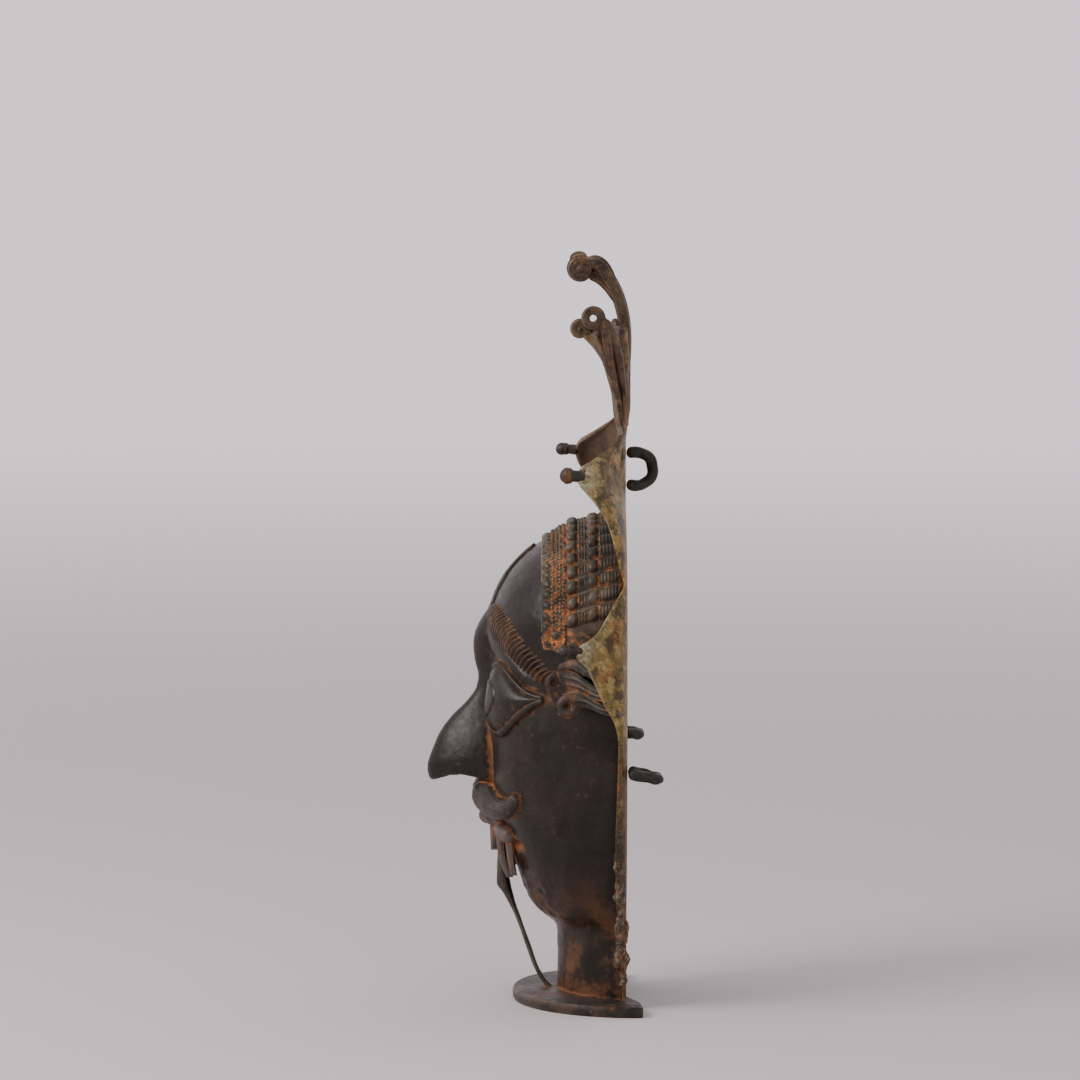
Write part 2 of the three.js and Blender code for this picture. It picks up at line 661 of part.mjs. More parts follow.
// A roll is counted in degrees from its back, up over its top and down its front.
function frond({ spine, half, flatness, roll }) {
  const { x, depth, z, radius, from, to } = roll;
  const stops = 9;
  const coil = Array.from({ length: stops + 1 }, (_, i) => {
    const angle = radians(mix(from, to, i / stops));
    const arm = radius * (1 - 0.2 * (i / stops) ** 2);
    return [x, depth - arm * Math.cos(angle), z + arm * Math.sin(angle)];
  });
  const length = (rows) => new THREE.CatmullRomCurve3(points(rows), false, 'centripetal').getLength();
  const coilStart = length([...spine, coil[0]]) / length([...spine, ...coil]);
  const spineRows = [0, 0.3, 0.6, 0.85].map((t) => [t * coilStart, half * mix(0.8, 1, t)]);
  const coilRow = (t) => [mix(coilStart, 1, t), half * mix(1, 0.85, t)];
  const coilRows = Array.from({ length: stops + 1 }, (_, i) => coilRow(i / stops));
  return rod(points([...spine, ...coil]), [...spineRows, ...coilRows], { sides: 6, flatness });
}

function leafTip({ x, depth, z, lean, rise }) {
  const line = points([[x, depth, z - 14], [x, depth + lean * 0.3, z], [x, depth + lean, z + rise]]);
  return rod(line, [[0, 4.2], [0.5, 4.6], [1, 1.8]], { sides: 5 });
}

function crestSolids() {
  const fronds = [MIDDLE_FROND, LEFT_FROND, RIGHT_FROND].map(frond);
  const underLeaf = rod(points(UNDER_LEAF.line), evenly(UNDER_LEAF.radii, 3), { sides: 5, flatness: 1.6 });
  return [crestSheet(), ...fronds, underLeaf, ...bothSides(LEAF_TIPS.map(leafTip))];
}

function slab(innerX, outerX, top, bottom, thickTop, thickBottom) {
  return block(3, 3, (u, v, w) => {
    const round = v > 0.5 ? 1 - 0.35 * (2 * v - 1) ** 2 : 1;
    const centre = (innerX + outerX) / 2;
    const x = centre + (u - 0.5) * (outerX - innerX) * round;
    const depth = mix(top[0], bottom[0], v);
    const thick = mix(thickTop, thickBottom, v) * (1 - 0.5 * (2 * u - 1) ** 2);
    const sag = 3 * Math.cos(Math.PI * (u - 0.5)) * v ** 4;
    return point(x, depth + (w - 0.5) * thick, mix(top[1], bottom[1], v) + 3 * v ** 4 - sag);
  });
}

function teeth() {
  const { count, halfRow, root, depth, top, bottom, bow, gap } = TEETH;
  return block(2 * count, 2, (u, v, w) => {
    const x = mix(-halfRow, halfRow, u);
    const between = Math.round(u * 2 * count) % 2 === 0;
    const front = depth - bow * x * x - (between ? gap : 0) - 3 * (2 * v - 1) ** 2;
    return point(x, w < 0.5 ? root : front, mix(top, bottom + (between ? gap / 2 : 0), v));
  });
}

function mouthSolids() {
  const lobe = rod(points(MOUSTACHE.line), evenly(MOUSTACHE.radii, 7), { sides: 7, wide: [0, 0, 1] });
  const lip = rod(points(LOWER_LIP.line), evenly(LOWER_LIP.radii, 4), { sides: 6, wide: [0, 0, 1] });
  const lock = slab(LOCK.inner, LOCK.outer, LOCK.top, LOCK.bottom, LOCK.thickTop, LOCK.thickBottom);
  const tongue = slab(-TONGUE.half, TONGUE.half, TONGUE.top, TONGUE.bottom, TONGUE.thick, TONGUE.thick);
  return [teeth(), tongue, ...bothSides([lobe, lip, lock])];
}

function footSolid() {
  const { thickness, radius, centreDepth, notchDepth, notchHalf } = FOOT;
  const [leftEar, rightEar] = EAR_DEPTHS;
  const [start, end] = EAR_DEPTHS.map((ear) => Math.asin((ear - centreDepth) / radius));
  const cornerX = radius * Math.cos(start);
  const bendX = mix(notchHalf, cornerX, 0.55);
  const shape = new THREE.Shape();
  shape.moveTo(cornerX, leftEar);
  shape.absarc(0, centreDepth, radius, start, Math.PI - end, false);
  shape.quadraticCurveTo(-bendX, rightEar + 1, -notchHalf, notchDepth);
  shape.lineTo(notchHalf, notchDepth);
  shape.quadraticCurveTo(bendX, leftEar + 1, cornerX, leftEar);
  const plate = new THREE.ExtrudeGeometry(shape, {
    depth: thickness,
    curveSegments: 16,
    bevelEnabled: false,
  });
  return toSolid(warp(plate, (p) => point(p.x, p.y, p.z)));
}

function maskSolid() {
  const bottom = FOOT.thickness / 2;
  const lids = [lid(UPPER_LID, [1.6, 2.4, 2.4, 1.8]), lid(LOWER_LID, [1.8, 3.2, 3.4, 2.2])];
  const eyes = bothSides([eyeball(0), iris(), ...lids]);
  const ears = bothSides(EAR_SCROLLS.map(earScroll));
  const sides = [1, -1].flatMap((side) => [
    frameHalf(side),
    knob(EAR_KNOB, side),
    knob(side > 0 ? LEFT_TOP_KNOB : RIGHT_TOP_KNOB, side),
  ]);
  const outside = join([
    headSolid(0, bottom, RIM_RECESS, 18, 8),
    noseSolid(0, 8, 14),
    ...eyes,
    ...bothSides([brow()]),
    ...FOREHEAD_BARS.map(foreheadBar),
    ...crownSolids(),
    ...mouthSolids(),
    ...ears,
    ...sides,
    ...crestSolids(),
    footSolid(),
  ]);
  const hollow = join([
    headSolid(WALL, FOOT.thickness, -6, 12, 5),
    noseSolid(WALL + 1, 4, 6),
    ...bothSides([eyeball(WALL)]),
  ]);
  const nostrils = bothSides([ball(point(NOSTRIL.x, NOSTRIL.depth, NOSTRIL.z), NOSTRIL.radii, 8, 4)]);
  return outside.subtract(hollow).subtract(join(nostrils));
}

function staySolid() {
  const foot = FOOT.thickness + TOUCH_GAP;
  const steps = 11;
  const edgeThinness = 0.45;
  const rows = STAY_LINE.map(([depth, z, half, thick]) => [z, depth, half, thick]);
  const top = rows[rows.length - 1][0];
  return block(2, steps, (u, v, w) => {
    const z = mix(foot, top, v);
    const side = 2 * u - 1;
    const thick = through(rows, z, 3) * (1 - edgeThinness * side ** 2);
    return point(through(rows, z, 2) * side, through(rows, z, 1) + (w - 0.5) * thick, z);
  });
}

// A loop's ends are dressed flat against the back.
const flush = (p) => p.setY(Math.max(p.y, BACK_Y + TOUCH_GAP));
const loopRows = (radius) => evenly([radius * 1.1, radius, radius, radius, radius * 1.1], 11);

function topLoop() {
  const { low, high, reach, bar } = TOP_LOOP;
  const middle = (low + high) / 2;
  const side = [[0, -TOUCH_GAP, low], [0, -reach * 0.6, low], [0, -reach, mix(low, middle, 0.5)]];
  const back = [[0, -reach, mix(high, middle, 0.5)], [0, -reach * 0.6, high], [0, -TOUCH_GAP, high]];
  return rod(points([...side, ...back]), loopRows(bar), { sides: 7, trim: flush });
}

function sideLoop({ reach, z, droop }, side) {
  const { x, spread, bar } = SIDE_LOOP;
  const back = (out) => -TOUCH_GAP - out * (reach - TOUCH_GAP);
  const at = (offset, out) => [side * (x + offset * spread), back(out), z - droop * out];
  const line = [at(-1, 0), at(-1, 0.6), at(-0.5, 1), at(0.5, 1), at(1, 0.6), at(1, 0)];
  return rod(points(line), loopRows(bar), { sides: 7, wide: [0, 0, 1], trim: flush });
}

const mask = new THREE.Group();
mask.add(toMesh(maskSolid(), 'mask', DARK_BRONZE));
mask.add(toMesh(staySolid(), 'tongue_stay', WORN_BRONZE));
mask.add(toMesh(topLoop(), 'back_loop_top', GREEN_BRONZE));
mask.add(toMesh(sideLoop(LEFT_LOOP, 1), 'back_loop_left', GREEN_BRONZE));
mask.add(toMesh(sideLoop(RIGHT_LOOP, -1), 'back_loop_right', GREEN_BRONZE));
export default mask;
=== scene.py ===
# The looks of a cast bronze bhuta mask: its fine relief, its patina and the studio that it stands in.
# Shapes are worked out in millimetres as x, depth and height, with the depth counted forward from the
# mask's flat back, and go into Blender in metres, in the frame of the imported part.
import math
from functools import partial

import bmesh
import bpy
import numpy as np
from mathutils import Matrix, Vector, noise
from mathutils.bvhtree import BVHTree


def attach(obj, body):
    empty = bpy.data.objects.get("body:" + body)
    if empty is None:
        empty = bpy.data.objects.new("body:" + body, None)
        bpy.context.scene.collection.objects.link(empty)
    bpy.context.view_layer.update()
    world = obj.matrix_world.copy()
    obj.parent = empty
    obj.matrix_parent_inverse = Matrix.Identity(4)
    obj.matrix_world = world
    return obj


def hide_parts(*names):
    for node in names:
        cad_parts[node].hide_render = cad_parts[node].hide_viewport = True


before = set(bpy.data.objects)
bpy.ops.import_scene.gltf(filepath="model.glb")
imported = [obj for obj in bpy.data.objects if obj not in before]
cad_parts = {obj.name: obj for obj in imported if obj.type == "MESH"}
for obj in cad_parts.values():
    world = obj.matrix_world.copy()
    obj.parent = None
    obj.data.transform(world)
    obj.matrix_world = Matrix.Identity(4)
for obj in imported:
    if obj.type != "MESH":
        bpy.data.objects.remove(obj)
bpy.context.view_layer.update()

MM = 0.001
BACK_Y = 35
WALL = 4
SHEET = 3
RIM_RECESS = 0.5
MERGE_DISTANCE = 0.002
SHARP_ANGLE = 55
FOOT = {"thickness": 8, "radius": 90, "centre": -5, "ears": (-12, -1), "notch": 1, "notch_half": 36}

TEMPLE_Z = 280
CRANIUM = (90, 102, 84)

# Below the temples: height, half width, depth at the middle and fullness of the cross-section.
FACE_STATIONS = [
    [0, 56, 51.2, 1.7],
    [30, 55, 51.2, 1.7],
    [54, 55, 51.5, 1.75],
    [60, 56, 55, 1.8],
    [66, 58, 63.5, 1.85],
    [75, 61.5, 71.5, 1.95],
    [83, 65, 75.2, 2.0],
    [94, 70, 79.5, 2.1],
    [112, 77, 85, 2.2],
    [132, 82, 92, 2.3],
    [152, 86, 99, 2.35],
    [176, 88.5, 103, 2.35],
    [206, 90, 103, 2.25],
    [240, 90, 101, 2.05],
    [262, 90, 102, 2.0],
    [TEMPLE_Z, CRANIUM[0], CRANIUM[1], 2.0],
]

HEAD_GRAIN = 1.78
HEAD_SMOOTHING = 4
# Lines on the near half of the face: the groove by the nose's wing, the corner of the mouth, the seam
# from the eye to the temple, and the stain under the chin.
WING_GROOVE = [[14, 101, 214], [20, 101.5, 200], [26, 101, 186], [27, 100.5, 172], [24, 101, 162]]
MOUTH_CORNER = [[34, 84, 123], [38, 80.7, 121.5], [42, 78.5, 121]]
EYE_SEAM = [[66, 73, 233], [74, 63, 236], [80, 54, 236]]
CHIN_STAIN = [[0, 62, 70], [20, 66, 78], [40, 66, 88]]

# The nose with the knot between the brows: height, depth of the ridge, half width.
NOSE_STATIONS = [
    [301, 98, 8],
    [293, 105, 13],
    [284, 110.5, 17],
    [275, 114, 18],
    [266, 114.6, 16],
    [256, 113.5, 13],
    [245, 111, 11.5],
    [236, 112.5, 12],
    [226, 119, 14],
    [214, 130.5, 17],
    [203, 139, 21],
    [190, 145, 25],
    [177, 149.2, 27],
    [169, 148.8, 27],
    [164.5, 145.5, 25],
]
NOSTRIL = {"x": 12, "depth": 124, "z": 167, "radii": (5.5, 11, 5)}

# One eye: a swelling between the lids, the hollow behind it, and the raised disc of its iris.
EYE = {"x": 36, "depth": 73, "z": 234, "hollow": 16.5, "swell": 10.5}
IRIS = {"x": 30, "z": 231, "radius": 14, "proud": 0.9}
UPPER_LID = [
    [13, 230], [19, 246], [28, 255], [37, 257], [47, 250.5], [54, 245], [62, 239], [67, 236.8], [72.8, 235.5],
]
LOWER_LID = [[13, 222], [20, 212], [34, 206.5], [45, 206], [50, 208.6], [60.5, 221], [67, 229], [73, 234]]
UPPER_LID_RADII = [0.8, 1.1, 2.2, 2.4, 2.4, 2.4, 1.9]
LOWER_LID_RADII = [0.8, 1.0, 1.6, 3.1, 3.2, 3.0, 2.2]
BROW_LIP = [[8, 283], [18, 270], [36, 262.5], [48, 256], [57, 249.5], [64, 244], [71, 241]]
BROW_TOP = [
    [9, 300], [24, 300.5], [35, 297], [46, 291.5], [53, 285], [60, 277], [66, 269.5], [71, 264], [75, 256],
]
BROW_CORDS = 25
# A brow cord's way from the lip to the brow's top: share across, share up, lift and radius.
BROW_CORD = [(0, 0, 1.0, 1.5), (0.12, 0.36, 2.2, 2.0), (0.42, 0.72, 1.7, 1.65), (1, 1, -0.4, 0.8)]
FOREHEAD_BARS = [(318.5, 341, 5, 2), (300, 321, 7.5, 2.2)]

# The crown: spreads in degrees over the cranium, and depths from the back.
RIB_COUNT = 19
RIB_SPREAD = 169
RIB_SLANT = 0.19
BEAD_COUNT = 27
BEAD_SPREAD = 188
CROWN_SPREAD = 196
CROWN_DEPTHS = (1.5, 63.5)
# Along a rib: its beads as depth, half length and height, and its rings as depth and height.
RIB_BEADS = ((39.6, 4.4, 6.8), (24.6, 4.6, 6.0))
RIB_RINGS = ((34.4, 4.6), (32.4, 4.4), (30.4, 4.6), (18.6, 4.9), (16.6, 4.6), (12.4, 5.0), (10.4, 4.8))
# The net's columns of pearls: depth, radius and height.
PEARL_COLUMNS = ((54.0, 1.5, 2.1), (51.0, 1.2, 1.5), (48.4, 1.4, 1.7), (45.6, 1.15, 1.4))
# How far round the pearls go, in degrees, the radius on which their pitch is counted, and the depths
# where the ribs end and the ovals start.
PEARL_REACH = 93
PEARL_ROUND = 76
RIBS_END = 44.2
OVALS_START = 56.2
# Below the crown's ends: a small knot and a fold.
CROWN_KNOT = ((79.5, 50, 283), (3.6, 6.5, 4.2))
CROWN_FOLD = [[78.5, 46.5, 278], [82.5, 37.5, 280.5], [85.8, 27.5, 284.5], [88, 18, 288]]

# The frame round the head, from the neck to the crest: half width, height, how far it stands forward.
FRAME_EDGE = [
    [59.5, 7, 3.2],
    [60.5, 28, 3.6],
    [64, 46, 4.6],
    [74, 66, 6.5],
    [88, 95, 8.5],
    [99, 130, 9],
    [107, 168, 8],
    [111, 204, 7],
    [113, 218, 9],
    [114, 228, 13.5],
    [115, 237, 18.5],
    [116, 247, 23],
    [117, 255, 26.8],
    [117.5, 262, 30],
    [118, 267, 35],
    [117.5, 272, 38],
    [116, 278, 36.5],
    [113.5, 284, 27.5],
    [112, 289.5, 21.3],
    [111, 296, 17.8],
    [109.5, 303, 13.8],
    [106.5, 313, 8],
    [103.5, 323, 3.2],
    [99, 334, 6],
    [95.5, 350, 10],
    [92, 365, 14.5],
    [90, 374, 19.5],
    [88, 382, 25],
    [86, 389, 31],
    [83.5, 395, 35.8],
    [80, 401, 37.5],
    [75, 406.5, 35],
    [66, 411, 27],
    [55, 416, 18.5],
    [43, 422, 9.5],
    [34, 428, 3.5],
]
CROWN_TOP_ENTRY = 32
RIGHT_PETAL_LIFT = 14
# Lumps of crust on each lower edge, and the share of the edge that they lie on.
CRUST_LUMPS = 13
CRUST_SPAN = (0.012, 0.142)
# The knobs on the petals: side, place, radius and radius of the stem.
KNOBS = [
    (1, 115, 48, 275.5, 4.2, 3.6),
    (-1, 115, 48, 275.5, 4.2, 3.6),
    (1, 80, 47, 400.6, 6.2, 4.4),
    (-1, 80, 49.4, 409.4, 4.8, 4),
]
# Behind each eye: two rolled leaf ends, as centre, radius and thickness, and the edges of their leaves.
EAR_ROLLS = [((76, 53, 248), 4.7, 3.0), ((83, 43.7, 231.5), 5.4, 3.3)]
EAR_LEAVES = [
    (
        [[78, 51, 255.5], [83, 47.5, 258], [93, 38, 257.5], [104, 25, 249], [112, 12, 246]],
        [[81, 44, 243], [85, 42, 242.5], [93, 34, 241.5], [104, 22, 238], [112, 10, 237]],
        2.6,
        3,
    ),
    (
        [[83, 47, 240], [88, 41, 242.5], [96, 33, 242.5], [105, 21, 236], [112, 8, 233]],
        [[84, 36, 228.5], [88, 33, 230.5], [96, 28, 231.5], [105, 17, 228], [112, 5, 226]],
        3.2,
        2,
    ),
]
EAR_LOBE = [[83, 51, 258.5], [90, 44.5, 262], [98, 37, 263], [108, 28, 259], [113, 18, 256]]

CREST = {"bottom": 404, "top": 503, "thickness": 3.5, "flutes": 3, "flute_depth": 2.2, "lean_back": 3.5}
CREST_STATIONS = [
    [404, 44, 2],
    [425, 31, 3],
    [440, 25, 8.5],
    [465, 26, 12.5],
    [485, 32, 19],
    [503, 39, 27],
]
FRONDS = {
    "middle": {
        "spine": [
            [0, -1, 432], [0, 0.5, 465], [0, 0.3, 495], [0, 2, 514],
            [0, 6, 529], [0, 12.5, 542], [0, 20, 552.5],
        ],
        "half": 4.6,
        "flatness": 2.6,
        "roll": (0, 34, 549.8, 5.6, 50, 400),
        "hub": 3.3,
    },
    "left": {
        "spine": [[19, 3, 428], [23, 6, 452], [28, 11, 474], [34, 14, 491], [38.5, 16, 504]],
        "half": 3,
        "flatness": 1.25,
        "roll": (40, 25, 514.3, 6.0, 5, 365),
        "hub": 0,
    },
    "right": {
        "spine": [[-19, 3, 428], [-24, 7, 452], [-29, 10.5, 468], [-33, 14.5, 481], [-36, 21, 491]],
        "half": 3.6,
        "flatness": 1.6,
        "roll": (-38, 34, 503, 4.2, -20, 320),
        "hub": 2.4,
    },
}
# The crest's small leaves: x, depth and height near the tip, how far the tip leans out and rises.
LEAF_TIPS = [(14, 3, 500, 6, 12), (27, 9, 500, 7, 11)]
# Leaves that clasp the middle frond's roll: line, radii and how much wider than thick they are.
CLASPS = [
    ([[0, 4, 523], [0, 12, 536], [0, 19.5, 543], [0, 28, 546]], [2.6, 4.2, 4.4, 3.6], 1.6),
    ([[0, 29, 554], [0, 22.5, 554], [0, 15, 547], [0, 8, 535]], [4.2, 5.6, 4.2, 1.8], 2.0),
    ([[0, 41, 554], [0, 36, 557.4], [0, 29, 556.5]], [3.6, 4.8, 4], 2.1),
]

MOUSTACHE_LINE = [
    [5, 104, 161], [15, 104, 157], [29, 98.5, 151.5], [46, 91.5, 149.5], [57, 85, 154], [60.5, 81.5, 162.5],
]
MOUSTACHE_RADII = [8, 12, 11, 8.5, 6, 4.4]
CURL = ((44.5, 81.5, 163.5), (5.5, 5, 5))
TEETH = {"count": 6, "half": 18, "root": 90, "depth": 110.5, "top": 144, "bottom": 133.5, "bow": 0.022}
LIP_LINE = [[0, 94, 131], [15, 93, 130.5], [28, 89.5, 129], [37, 85, 126]]
LIP_RADII = [5.5, 6, 6, 6.2]
# The tongue and the beard's locks as slabs: inner and outer x, the middle's depth and height down
# its length, and its thickness at the top and bottom.
TONGUE = (-8.5, 8.5, [[99.5, 138], [99.2, 126], [98.8, 112]], 5, 4.6)
LOCKS = [
    (9, 21, [[95, 137], [93.5, 124], [92.5, 112], [90, 101], [86.8, 93.4]], 8.5, 5),
    (22, 32, [[87.5, 128], [86.5, 116], [85.5, 106], [83.5, 96.5]], 7, 4.5),
]

STAY_LINE = [
    [55, 0, 4.5, 4.5],
    [57.5, 8, 4.5, 5],
    [62, 14, 4.5, 4],
    [67.6, 24, 4.5, 3.6],
    [73, 39.4, 4.5, 3.8],
    [77.7, 52.5, 4.8, 3.5],
    [81.2, 62.3, 5, 3.9],
    [84.5, 70, 5.3, 4.8],
    [88.6, 80, 5.9, 7.4],
    [91.4, 86, 6.4, 10.3],
    [92.5, 95, 6.4, 8.2],
    [93.7, 103.4, 5.8, 5.4],
    [94.5, 109.5, 5, 3],
]
TOP_LOOP = {"low": 388, "high": 412, "reach": 19, "bar": 4.2}
SIDE_LOOPS = {
    "left": {"side": 1, "reach": 21.5, "z": 184, "droop": 4.5},
    "right": {"side": -1, "reach": 11.5, "z": 189.5, "droop": 1.5},
}
SIDE_LOOP = {"x": 97, "spread": 7.4, "bar": 4.1}


# Curves and shapes

def through(stations, key, column):
    """Value of a column at key in column 0, on a smooth curve through the stations with no overshoot."""
    rows = np.array(stations, float)
    if rows[0, 0] > rows[-1, 0]:
        rows = rows[::-1]
    x, y = rows[:, 0], rows[:, column]
    key = np.clip(key, x[0], x[-1])
    slope = np.diff(y) / np.diff(x)
    product = slope[:-1] * slope[1:]
    total = slope[:-1] + slope[1:]
    inner = np.where(product > 0, 2 * product / np.where(total == 0, 1, total), 0)
    tangent = np.concatenate([slope[:1], inner, slope[-1:]])
    i = np.clip(np.searchsorted(x, key, side="right") - 1, 0, len(x) - 2)
    span = x[i + 1] - x[i]
    t = (key - x[i]) / span
    return (
        (2 * t**3 - 3 * t**2 + 1) * y[i]
        + (t**3 - 2 * t**2 + t) * span * tangent[i]
        + (3 * t**2 - 2 * t**3) * y[i + 1]
        + (t**3 - t**2) * span * tangent[i + 1]
    )


def mix(a, b, t):
    return a + (b - a) * t


def ease(value, low, high):
    """0 below low, 1 above high, and smooth between them."""
    t = np.clip((value - low) / (high - low), 0, 1)
    return t * t * (3 - 2 * t)


def hump(value, centre, half):
    """A round hump 1 high, from centre - half to centre + half."""
    return np.sqrt(np.clip(1 - ((value - centre) / half) ** 2, 0, 1))


def spread(values):
    """Values spread evenly over 0 to 1, as a table."""
    return [[i / (len(values) - 1), value] for i, value in enumerate(values)]


class Line:
    """A smooth line through points, read by a share of its length."""

    def __init__(self, points):
        p = np.array(points, float)
        p = np.vstack([2 * p[0] - p[1], p, 2 * p[-1] - p[-2]])
        knots = np.concatenate([[0], np.cumsum(np.linalg.norm(np.diff(p, axis=0), axis=1) ** 0.5)])
        runs = []
        for i in range(len(p) - 3):
            k = knots[i : i + 4]
            t = np.linspace(k[1], k[2], 60)[:, None]
            level = list(p[i : i + 4])
            for reach in (1, 2):
                level = [
                    ((k[j + reach] - t) * level[j] + (t - k[j]) * level[j + 1]) / (k[j + reach] - k[j])
                    for j in range(len(level) - 1)
                ]
            runs.append(((k[2] - t) * level[0] + (t - k[1]) * level[1]) / (k[2] - k[1]))
        points = np.vstack(runs)
        steps = np.linalg.norm(np.diff(points, axis=0), axis=1)
        kept = np.concatenate([[True], steps > 1e-9])
        self.points = points[kept]
        self.share = np.concatenate([[0], np.cumsum(steps[kept[1:]])])
        self.length = self.share[-1]
        self.share = self.share / self.length

    def at(self, share):
        return np.stack([np.interp(share, self.share, c) for c in self.points.T], axis=-1)

    def along(self, share):
        step = 0.004
        d = self.at(np.clip(share + step, 0, 1)) - self.at(np.clip(share - step, 0, 1))
        return d / np.linalg.norm(d, axis=-1, keepdims=True)


def drawn(rows):
    """A line drawn in the front view, from rows of x and height."""
    return Line([[x, 0, z] for x, z in rows])


def unit(vectors):
    return vectors / np.maximum(np.linalg.norm(vectors, axis=-1, keepdims=True), 1e-9)


def stack(x, depth, z):
    return np.stack(np.broadcast_arrays(x, depth, z), axis=-1).astype(float)


def rough(points, size, seed=0):
    """Even noise from -1 to 1 at points in millimetres, with lumps of about that size."""
    offset = Vector((seed * 7.3, seed * 3.1, seed * 5.7))
    return np.array([noise.noise(Vector(p) / size + offset) for p in points])


# Making and keeping meshes

def read_points(mesh):
    flat = np.empty(3 * len(mesh.vertices))
    mesh.vertices.foreach_get("co", flat)
    return flat.reshape(-1, 3)


def read_normals(mesh):
    flat = np.empty(3 * len(mesh.vertices))
    mesh.vertex_normals.foreach_get("vector", flat)
    return flat.reshape(-1, 3)


def write_points(mesh, points):
    """Puts points given as x, depth and height in millimetres into the mesh, in metres."""
    rows = np.stack([points[:, 0], BACK_Y - points[:, 1], points[:, 2]], axis=-1) * MM
    mesh.vertices.foreach_set("co", rows.ravel())
    mesh.update()


def mask_points(mesh):
    """The mesh's points as x, depth and height in millimetres."""
    rows = read_points(mesh) / MM
    return np.stack([rows[:, 0], BACK_Y - rows[:, 1], rows[:, 2]], axis=-1)


def attribute(mesh, name, values):
    layer = mesh.attributes.get(name) or mesh.attributes.new(name, "FLOAT", "POINT")
    layer.data.foreach_set("value", np.asarray(values, np.float32))


def bent(bm, place, outer=None):
    """A mesh from a bmesh in unit sizes, bent by place(u, v, w), with doubles merged and faces outwards."""
    mesh = bpy.data.meshes.new("shape")
    bm.to_mesh(mesh)
    bm.free()
    u, v, w = read_points(mesh).T
    write_points(mesh, place(u + 0.5, v + 0.5, w))
    attribute(mesh, "outer", outer(u + 0.5, v + 0.5, w) if outer else np.zeros(len(u)))
    return cleaned(mesh)


def cleaned(mesh):
    bm = bmesh.new()
    bm.from_mesh(mesh)
    bmesh.ops.remove_doubles(bm, verts=bm.verts, dist=MERGE_DISTANCE * MM)
    bmesh.ops.holes_fill(bm, edges=[edge for edge in bm.edges if edge.is_boundary], sides=0)
    bmesh.ops.recalc_face_normals(bm, faces=bm.faces)
    if bm.calc_volume(signed=True) < 0:
        bmesh.ops.reverse_faces(bm, faces=bm.faces)
    bm.to_mesh(mesh)
    bm.free()
    return mesh


def block(nu, nv, place, layers=1, outer=None):
    """A closed slab whose sides run 0 to 1, bent by place(u, v, w)."""
    bm = bmesh.new()
    bmesh.ops.create_grid(bm, x_segments=nu, y_segments=nv, size=0.5)
    cap = bm.faces[:]
    for level in range(layers):
        made = bmesh.ops.extrude_face_region(bm, geom=cap)["geom"]
        if level:
            bmesh.ops.delete(bm, geom=cap, context="FACES")
        cap = [item for item in made if isinstance(item, bmesh.types.BMFace)]
        corners = [item for item in made if isinstance(item, bmesh.types.BMVert)]
        bmesh.ops.translate(bm, vec=(0, 0, 1 / layers), verts=corners)
    return bent(bm, place, outer)


def rolled(around, along, place):
    """A closed skin rolled from a grid: u goes round, v goes along, and open ends are filled."""
    bm = bmesh.new()
    bmesh.ops.create_grid(bm, x_segments=around, y_segments=along, size=0.5)
    return bent(bm, place)


def rod(line, radii, around, along, flatness=1, wide=(1, 0, 0), relief=None, trim=None):
    """A rod with round ends along a smooth line. radii are rows of a share of its length and a radius.
    wide is the way in which its section is flatness times wider than it is thick."""
    curve = Line(line)

    def place(u, v, w):
        share = 0.5 - 0.5 * np.cos(math.pi * v)
        angle = 2 * math.pi * u
        forward = curve.along(share)
        across = np.array(wide, float) - forward * (forward @ np.array(wide, float))[:, None]
        across = unit(across)
        thick = np.cross(forward, across)
        radius = through(radii, share, 1)
        end = np.minimum(share, 1 - share) * curve.length / np.maximum(radius, 0.1)
        if relief is not None:
            radius = radius + relief(angle, share)
        radius = radius * hump(np.minimum(end, 1), 1, 1)
        x = np.cos(angle) * radius * flatness
        y = np.sin(angle) * radius
        p = curve.at(share) + across * x[:, None] + thick * y[:, None]
        return trim(p) if trim else p

    return rolled(around, along, place)


def ball(centre, radii, around=40, down=24):
    bm = bmesh.new()
    bmesh.ops.create_uvsphere(bm, u_segments=around, v_segments=down, radius=0.5)
    centre, radii = np.array(centre, float), np.array(radii, float)
    return bent(bm, lambda u, v, w: centre + 2 * radii * np.stack([u - 0.5, v - 0.5, w], axis=-1))


def ring(centre, major, minor, around, along, relief):
    """A ring about an axis along x."""

    def place(u, v, w):
        a, b = 2 * math.pi * u, 2 * math.pi * v
        fat = minor + relief(a, b)
        reach = major + fat * np.cos(b)
        return np.array(centre, float) + stack(fat * np.sin(b), reach * np.cos(a), reach * np.sin(a))

    return rolled(around, along, place)


def mirrored(meshes):
    """The meshes with their mirror images across the middle plane."""
    copies = []
    for mesh in meshes:
        other = mesh.copy()
        points = mask_points(other)
        points[:, 0] *= -1
        write_points(other, points)
        other.flip_normals()
        copies.append(other)
    return [*meshes, *copies]


def gathered(meshes):
    bm = bmesh.new()
    for mesh in meshes:
        bm.from_mesh(mesh)
    joined = bpy.data.meshes.new("shape")
    bm.to_mesh(joined)
    bm.free()
    return joined


def show(mesh, name="shape"):
    thing = bpy.data.objects.new(name, mesh)
    bpy.context.scene.collection.objects.link(thing)
    return thing


def baked(thing):
    """The object's mesh with its modifiers applied. The object itself goes."""
    bpy.context.view_layer.update()
    shown = thing.evaluated_get(bpy.context.evaluated_depsgraph_get())
    mesh = bpy.data.meshes.new_from_object(shown)
    bpy.data.objects.remove(thing)
    return mesh


